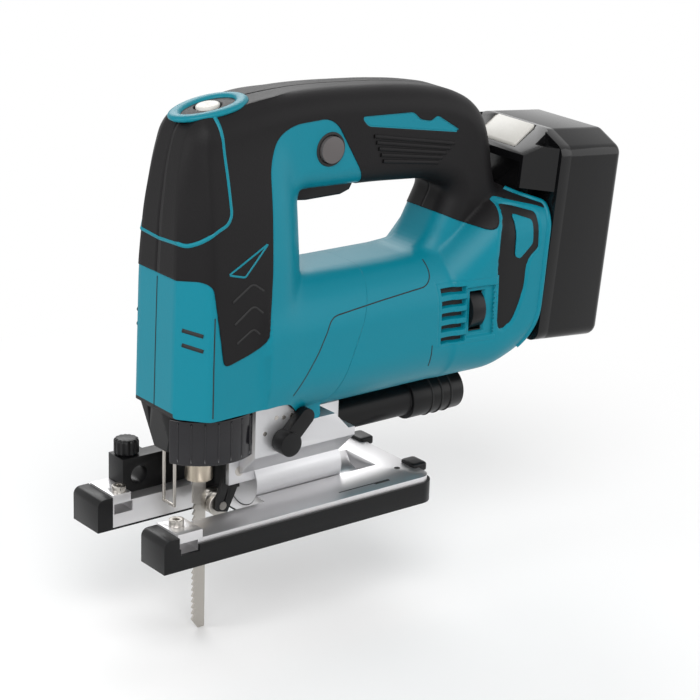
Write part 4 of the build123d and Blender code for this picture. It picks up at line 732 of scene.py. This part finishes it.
def makeVents(side):
    # skin grid less a depth, in smooth steps at the slots, the dial's dish and its window, and in a groove round
    # the patch; the window is left open on the dial's side; faces deeper than shadeFrom take the dark finish as
    # painted shade
    v = ventPatch
    (x0, z0), (x1, z1), wall = v["low"], v["high"], v["wall"]
    nx, nz = int((x1 - x0) / v["step"]), int((z1 - z0) / v["step"])
    x, z = np.meshgrid(np.linspace(x0, x1, nx), np.linspace(z0, z1, nz), indexing="ij")
    bounds = [(*v["slotX"], middle - v["slotHalf"], middle + v["slotHalf"]) for middle in v["slots"]]
    slots = np.min([rectangleField(x, z, *bound) for bound in bounds], 0)
    dish, window = rectangleField(x, z, *v["dish"]), rectangleField(x, z, *v["window"])
    hasDial = side < 0
    depth = v["depth"] * smoothStep(-wall, wall, -slots)
    if hasDial:
        depth = np.maximum(depth, v["dishDepth"] * smoothStep(*v["dishEdge"], -dish))
        depth = np.maximum(depth, v["windowDepth"] * smoothStep(-wall, wall, -window))
    groove = v["groove"] * smoothStep(*v["grooveEdge"], v["grooveWidth"] - ventInset(x, z))
    points = np.stack([x, halfWidthAt(x, z) - depth - groove, z], -1)
    quads = gridFaces(nx, nz)
    # painted shade: the deep faces of the slots and window take the dark finish
    deep = (depth.ravel()[quads] > v["shadeFrom"]).all(1)
    keep = ~((window.ravel()[quads] < -v["windowOpen"]).all(1) & hasDial)
    points, faces = sided(points, [list(q) for q in quads[keep]], side)
    addPiece("vents" + sideName[side], points, faces, finishes["teal"], "body", "teal_plastic",
             shadeFinish=finishes["dark"], shadeFaces=deep[keep])


for side in (-1, 1):
    makeVents(side)
print("trim and vents")

# sloping top: oval rim, pad and button
topOval = {
    "centre": (2.6, 199.3), "slope": 0.165, "half": (19.2, 12.6), "egg": 0.1, "count": 120,
    "rim": 3.0, "rimScale": 0.86, "rimLift": 0.2, "rimSides": 14, "flat": 0.55,
    "padScale": 0.76, "padDrop": 0.2, "padCrown": 0.6, "padRings": 27, "well": 2.0, "wellEdge": (5.6, 6.4),
    "button": 5.4, "buttonLift": 0.7, "buttonCount": 64,
    "capReach": [0.01, 0.7, 0.92, 1.0, 1.0], "capLift": [0.95, 0.9, 0.75, 0.4, -0.8],
}


def ovalPath(scale, lift, count=topOval["count"]):
    # an egg: x = a cos t, y = b sin t (1 + egg cos t), on the sloping top
    o = topOval
    t = np.linspace(0, 2 * np.pi, count, endpoint=False)
    x = o["half"][0] * scale * np.cos(t)
    y = o["half"][1] * scale * np.sin(t) * (1 + o["egg"] * np.cos(t))
    return np.stack([o["centre"][0] + x, y, o["centre"][1] + o["slope"] * x + lift], 1)


def makeTopRim():
    # a tube along the egg, with its height over the sloping plane pressed flatter
    o = topOval
    path = ovalPath(o["rimScale"], o["rimLift"])
    points, faces = tube(path, o["rim"], True, o["rimSides"], guide=(0.0, 0.0, 1.0))
    plane = o["centre"][1] + o["slope"] * (points[:, 0] - o["centre"][0])
    points[:, 2] = plane + (points[:, 2] - plane) * o["flat"]
    addPiece("topRim", points, faces, finishes["tealTrim"], "body", "bezel_teal", ["top_bezel"])


def makeTopPad():
    # rings of the egg at equal shares s, crowned by 1 - s^2, lowered under the button by a round well
    o, count = topOval, topOval["count"]
    shares = np.linspace(0, 1, o["padRings"] + 1)[1:]
    disc = np.stack([ovalPath(o["padScale"] * s, o["padDrop"] + o["padCrown"] * (1 - s * s)) for s in shares])
    away = np.hypot(disc[..., 0] - o["centre"][0], disc[..., 1])
    disc[..., 2] -= o["well"] * (1 - smoothStep(*o["wellEdge"], away))
    middle = ovalPath(0.0, o["padDrop"] + o["padCrown"] - o["well"], 1)
    points = np.vstack([middle, disc.reshape(-1, 3)])
    fan = [[0, 1 + k, 1 + (k + 1) % count] for k in range(count)]
    rings = [[1 + a for a in f] for f in gridFaces(o["padRings"], count, wrapCols=True)]
    addPiece("topPad", points, fan + rings, finishes["rubber"], "body", "grip_rubber", ["top_pad"])


def makeTopButton():
    # circles of changing radius and height on the sloping plane, from the middle out and down the side
    o, count = topOval, topOval["buttonCount"]
    t = np.linspace(0, 2 * np.pi, count, endpoint=False)
    reach = (np.array(o["capReach"]) * o["button"])[:, None]
    lift = (np.array(o["capLift"]) + o["buttonLift"])[:, None]
    x, y = reach * np.cos(t), reach * np.sin(t)
    z = o["centre"][1] + o["slope"] * x + lift
    cap = np.stack([o["centre"][0] + x, y, z], -1).reshape(-1, 3)
    faces = [list(f) for f in gridFaces(len(reach), count, wrapCols=True)] + [list(range(count))[::-1]]
    addPiece("topButton", cap, faces, finishes["pale"], "power", "button_grey", ["power_button"])


makeTopRim()
makeTopPad()
makeTopButton()
print("top")

# dark ring around the lock button, near side only
lockRing = {"centre": casing["lockHole"]["centre"], "reach": 7.2, "radius": 0.9, "sink": 0.25, "count": 64}


def circle(reach, count):
    # points (reach cos t, reach sin t)
    t = np.linspace(0, 2 * np.pi, count, endpoint=False)
    return reach * np.stack([np.cos(t), np.sin(t)], 1)


def makeLockRing():
    # a tube on a circle in side view, laid on the near skin
    k = lockRing
    path = onSide(circle(k["reach"], k["count"]) + np.array(k["centre"]), -k["sink"])
    addPiece("lockRing", *tube(path, k["radius"], True), finishes["dark"], "body", "black_plastic")


makeLockRing()

# bead around the handle inlay
inlayBead = {"radius": 0.4, "sink": 0.05}
beadPath = onSide(inlayLoop, -inlayBead["sink"])
trimTubes("inlayBead", [beadPath], inlayBead["radius"], "tealTrim", "bezel_teal", closed=True)

# painted shade for the grooves round the end of the dust nozzle
nozzleGrooveShade = {"height": 39.0, "reach": 10.5, "radius": 0.5, "places": [132.0, 138.0, 144.0], "count": 64}


def makeNozzleGrooveShade():
    # dark rings on circles about the nozzle's axis, painted as the shade in the grooves
    n = nozzleGrooveShade
    flat = circle(n["reach"], n["count"])
    rings = [np.stack([np.full(n["count"], x), flat[:, 0], flat[:, 1] + n["height"]], 1) for x in n["places"]]
    parts = [tube(path, n["radius"], True, guide=(1.0, 0.0, 0.0)) for path in rings]
    addPiece("nozzleGrooveShade", *joined(parts), finishes["dark"], "body", "black_plastic")


makeNozzleGrooveShade()

# fluted knob of the guide clamp
clampKnob = {"centre": (-20.0, 31.0), "flutes": 14, "depth": 0.5, "count": 168,
             "reach": [5.0, 5.8, 6.0, 6.0, 5.7, 4.6], "height": [30.3, 30.6, 31.2, 36.6, 37.5, 38.0]}


def makeKnob():
    # radius = reach - depth (1 + cos(flutes t)) / 2, stacked over the heights, with flat fans at both ends
    k = clampKnob
    t = np.linspace(0, 2 * np.pi, k["count"], endpoint=False)
    wave = k["depth"] * (1 + np.cos(k["flutes"] * t)) / 2
    reach = np.array(k["reach"])[:, None] - wave[None]
    z = np.broadcast_to(np.array(k["height"])[:, None], reach.shape)
    points = np.stack([k["centre"][0] + reach * np.cos(t), k["centre"][1] + reach * np.sin(t), z], -1)
    rows, cols = reach.shape
    faces = [list(f[::-1]) for f in gridFaces(rows, cols, wrapCols=True)]
    faces += [list(range(cols))[::-1], [(rows - 1) * cols + j for j in range(cols)]]
    addPiece("clampKnob", points.reshape(-1, 3), faces, finishes["black"], "guide_knob", "black_plastic",
             ["guide_clamp_knob"])


makeKnob()

# upright ridges on the blade release lever
leverRidges = {"reach": 26.4, "radius": 0.5, "low": 41.5, "high": 60.5, "first": 214.0, "last": 296.0, "count": 7,
               "steps": 8}


def makeRidges():
    # upright tubes at equal angles on a circle about the blade axis
    r = leverRidges
    turn = np.radians(np.linspace(r["first"], r["last"], r["count"]))
    z = np.linspace(r["low"], r["high"], r["steps"])
    feet = r["reach"] * np.stack([np.cos(turn), np.sin(turn)], 1)
    parts = [tube(np.stack([0 * z + x, 0 * z + y, z], 1), r["radius"]) for x, y in feet]
    addPiece("leverRidges", *joined(parts), finishes["smoke"], "release_lever", "smoke_plastic")


makeRidges()

# round marks on the bracket, and painted shade for the groove, slot and hole in the plate
bracketMarks = {"face": -22.0, "proud": 0.12, "deep": 0.3, "radius": 1.1, "sides": 24,
                "places": [(27.8, 54.8), (32.0, 54.2), (36.4, 54.4), (21.4, 48.2)]}
plateCutShade = {
    "top": 13.0, "count": 24,
    "groove": {"y": -30.0, "start": 59.6, "end": 82.0, "radius": 0.5, "sink": 0.3},
    "slot": {"y": -30.6, "start": 80.5, "end": 89.0, "radius": 1.5, "sink": 1.1},
    "hole": {"place": (101.9, -21.1), "radius": 1.5, "proud": 0.08, "deep": 0.4},
}


def makeBracketMarks():
    # short upright discs through the bracket's near face
    b = bracketMarks
    ends = (b["face"] + b["deep"], b["face"] - b["proud"])
    paths = [[(x, y, z) for y in ends] for x, z in b["places"]]
    discs = [tube(path, b["radius"], sides=b["sides"], guide=(1.0, 0.0, 0.0)) for path in paths]
    addPiece("bracketMarks", *joined(discs), finishes["steel"], "body", "cast_aluminium", smooth=False)


def makePlateCutShade():
    # dark tubes sunk along the plate's top, and a dark disc for the hole, painted as the shade in the groove, slot
    # and hole
    m, h = plateCutShade, plateCutShade["hole"]
    cuts = []
    for cut in (m["groove"], m["slot"]):
        x = np.linspace(cut["start"], cut["end"], m["count"])
        path = np.stack([x, 0 * x + cut["y"], 0 * x + m["top"] - cut["sink"]], 1)
        cuts.append(tube(path, cut["radius"]))
    ends = (m["top"] - h["deep"], m["top"] + h["proud"])
    cuts.append(tube([(*h["place"], z) for z in ends], h["radius"], sides=m["count"]))
    addPiece("plateCutShade", *joined(cuts), finishes["dark"], "base", "cast_aluminium")


makeBracketMarks()
makePlateCutShade()

# moulded hooks at the rear edge of the shoe
rearHooks = {"centre": (112.4, 21.0, 12.6), "half": (4.2, 5.6, 2.2), "power": 0.32, "count": (20, 40)}


def roundedBlock(centre, half, power, count):
    # superellipsoid: each of cos and sin raised to a small power, which gives flat sides with round edges
    v = np.linspace(-np.pi / 2, np.pi / 2, count[0] + 2)[1:-1, None]
    u = np.linspace(0, 2 * np.pi, count[1], endpoint=False)[None]
    bend = lambda w: np.sign(w) * np.abs(w) ** power
    level, height = bend(np.cos(v)), bend(np.sin(v)) + 0 * u
    grid = np.stack([level * bend(np.cos(u)), level * bend(np.sin(u)), height], -1)
    points = np.asarray(centre) + grid * np.asarray(half)
    rows, cols = count
    faces = [list(f[::-1]) for f in gridFaces(rows, cols, wrapCols=True)]
    faces += [list(range(cols))[::-1], [(rows - 1) * cols + j for j in range(cols)]]
    return points.reshape(-1, 3), faces


def makeHooks():
    # one rounded block on each side of the middle
    h = rearHooks
    x, y, z = h["centre"]
    parts = [roundedBlock((x, side * y, z), h["half"], h["power"], h["count"]) for side in (-1, 1)]
    addPiece("rearHooks", *joined(parts), finishes["black"], "base", "black_plastic")


makeHooks()
print("fittings")

# camera, solved against the photograph's frame of 700 x 700
cameraPlace = {
    "azimuth": -38.396, "elevation": 19.163, "roll": 1.899, "across": 70.964, "upward": 81.805, "distance": 1076.317,
    "focalPixels": 2300.0, "framePixels": 700.0, "sensor": 36.0, "clip": (0.05, 50.0),
}


def makeCamera():
    # axes from azimuth and elevation, turned by the roll; the place is measured along those axes
    c = cameraPlace
    a, e, r = (math.radians(c[key]) for key in ("azimuth", "elevation", "roll"))
    back = np.array([math.sin(a) * math.cos(e), -math.cos(a) * math.cos(e), math.sin(e)])
    right = np.array([math.cos(a), math.sin(a), 0])
    up = np.cross(back, right)
    rolledRight = math.cos(r) * right + math.sin(r) * up
    rolledUp = math.cos(r) * up - math.sin(r) * right
    place = (c["across"] * rolledRight + c["upward"] * rolledUp + c["distance"] * back) * mm
    data = bpy.data.cameras.new("photoCamera")
    data.sensor_width = c["sensor"]
    data.lens = c["focalPixels"] / c["framePixels"] * c["sensor"]
    data.clip_start, data.clip_end = c["clip"]
    camera = bpy.data.objects.new("photoCamera", data)
    bpy.context.scene.collection.objects.link(camera)
    matrix = np.eye(4)
    matrix[:3, 0], matrix[:3, 1], matrix[:3, 2], matrix[:3, 3] = rolledRight, rolledUp, back, place
    camera.matrix_world = Matrix(matrix.tolist())
    bpy.context.scene.camera = camera


makeCamera()

# floor, lamps and world
stageLook = {
    "floorZ": -53.4, "floorSize": 6.0, "floorGrey": 0.92, "floorRough": 0.9,
    "fadeShift": (-0.09, 0.0, 0.0), "fadeStart": 0.2, "fadeEnd": 0.42,
    "worldLight": 0.42, "backdrop": 1.0, "white": (1, 1, 1, 1), "aim": (0.08, 0.0, 0.1),
    "lamps": {
        "keyLamp": {"place": (-0.55, -0.9, 1.15), "size": 0.9, "power": 14.5},
        "fillLamp": {"place": (1.1, -0.9, 0.55), "size": 1.1, "power": 5.0},
        "rimLamp": {"place": (0.5, 1.0, 0.9), "size": 0.8, "power": 7.0},
        "frontLamp": {"place": (-1.3, 0.1, 0.5), "size": 0.9, "power": 7.0},
    },
}


def backdropRays(nodes, links):
    # 1 for rays from the camera, in reflections and through clear pieces, else 0
    path = nodes.new("ShaderNodeLightPath")
    first, both = nodes.new("ShaderNodeMath"), nodes.new("ShaderNodeMath")
    first.operation = both.operation = "MAXIMUM"
    links.new(path.outputs["Is Camera Ray"], first.inputs[0])
    links.new(path.outputs["Is Glossy Ray"], first.inputs[1])
    links.new(first.outputs[0], both.inputs[0])
    links.new(path.outputs["Is Transmission Ray"], both.inputs[1])
    return both.outputs[0]


def floorLook():
    # pale paper that keeps the shadow, fading to plain white with distance for the backdrop's rays
    s = stageLook
    look = bpy.data.materials.new("paleFloor")
    look.use_nodes = True
    nodes, links = look.node_tree.nodes, look.node_tree.links
    paper = nodes["Principled BSDF"]
    paper.inputs["Base Color"].default_value = (s["floorGrey"],) * 3 + (1,)
    paper.inputs["Roughness"].default_value = s["floorRough"]
    kinds = ("TexCoord", "VectorMath", "VectorMath", "MapRange", "Emission", "MixShader", "Math")
    coord, middle, spread, fade, glow, mix, both = (nodes.new("ShaderNode" + kind) for kind in kinds)
    middle.inputs[1].default_value = s["fadeShift"]
    spread.operation = "LENGTH"
    both.operation = "MULTIPLY"
    fade.inputs["From Min"].default_value = s["fadeStart"]
    fade.inputs["From Max"].default_value = s["fadeEnd"]
    links.new(coord.outputs["Object"], middle.inputs[0])
    links.new(middle.outputs[0], spread.inputs[0])
    links.new(spread.outputs["Value"], fade.inputs["Value"])
    links.new(fade.outputs["Result"], both.inputs[0])
    links.new(backdropRays(nodes, links), both.inputs[1])
    links.new(both.outputs[0], mix.inputs["Fac"])
    links.new(paper.outputs[0], mix.inputs[1])
    links.new(glow.outputs[0], mix.inputs[2])
    links.new(mix.outputs[0], nodes["Material Output"].inputs["Surface"])
    return look


def makeFloor():
    # one square below the blade's tip
    s = stageLook
    half = s["floorSize"] / 2 / mm
    corners = [(x, y, s["floorZ"]) for x, y in ((-half, -half), (half, -half), (half, half), (-half, half))]
    mesh = bpy.data.meshes.new("floor")
    mesh.from_pydata((np.array(corners) * mm).tolist(), [], [[0, 1, 2, 3]])
    floor = bpy.data.objects.new("floor", mesh)
    bpy.context.scene.collection.objects.link(floor)
    mesh.materials.append(floorLook())


def makeLamps():
    # square area lamps that face the middle of the tool
    s = stageLook
    for name, lamp in s["lamps"].items():
        data = bpy.data.lights.new(name, "AREA")
        data.energy, data.size = lamp["power"], lamp["size"]
        light = bpy.data.objects.new(name, data)
        bpy.context.scene.collection.objects.link(light)
        light.location = lamp["place"]
        light.rotation_mode = "QUATERNION"
        toward = Vector(s["aim"]) - Vector(lamp["place"])
        light.rotation_quaternion = toward.to_track_quat("-Z", "Y")


def makeWorld():
    # even light on the tool, plain white for the backdrop's rays
    s = stageLook
    world = bpy.data.worlds.new("softRoom")
    bpy.context.scene.world = world
    world.use_nodes = True
    nodes, links = world.node_tree.nodes, world.node_tree.links
    ambient, seen = nodes["Background"], nodes.new("ShaderNodeBackground")
    for background, strength in ((ambient, s["worldLight"]), (seen, s["backdrop"])):
        background.inputs["Color"].default_value = s["white"]
        background.inputs["Strength"].default_value = strength
    mix = nodes.new("ShaderNodeMixShader")
    links.new(backdropRays(nodes, links), mix.inputs["Fac"])
    links.new(ambient.outputs[0], mix.inputs[1])
    links.new(seen.outputs[0], mix.inputs[2])
    links.new(mix.outputs[0], nodes["World Output"].inputs["Surface"])
    bpy.context.scene.view_settings.view_transform = "Standard"


makeFloor()
makeLamps()
makeWorld()
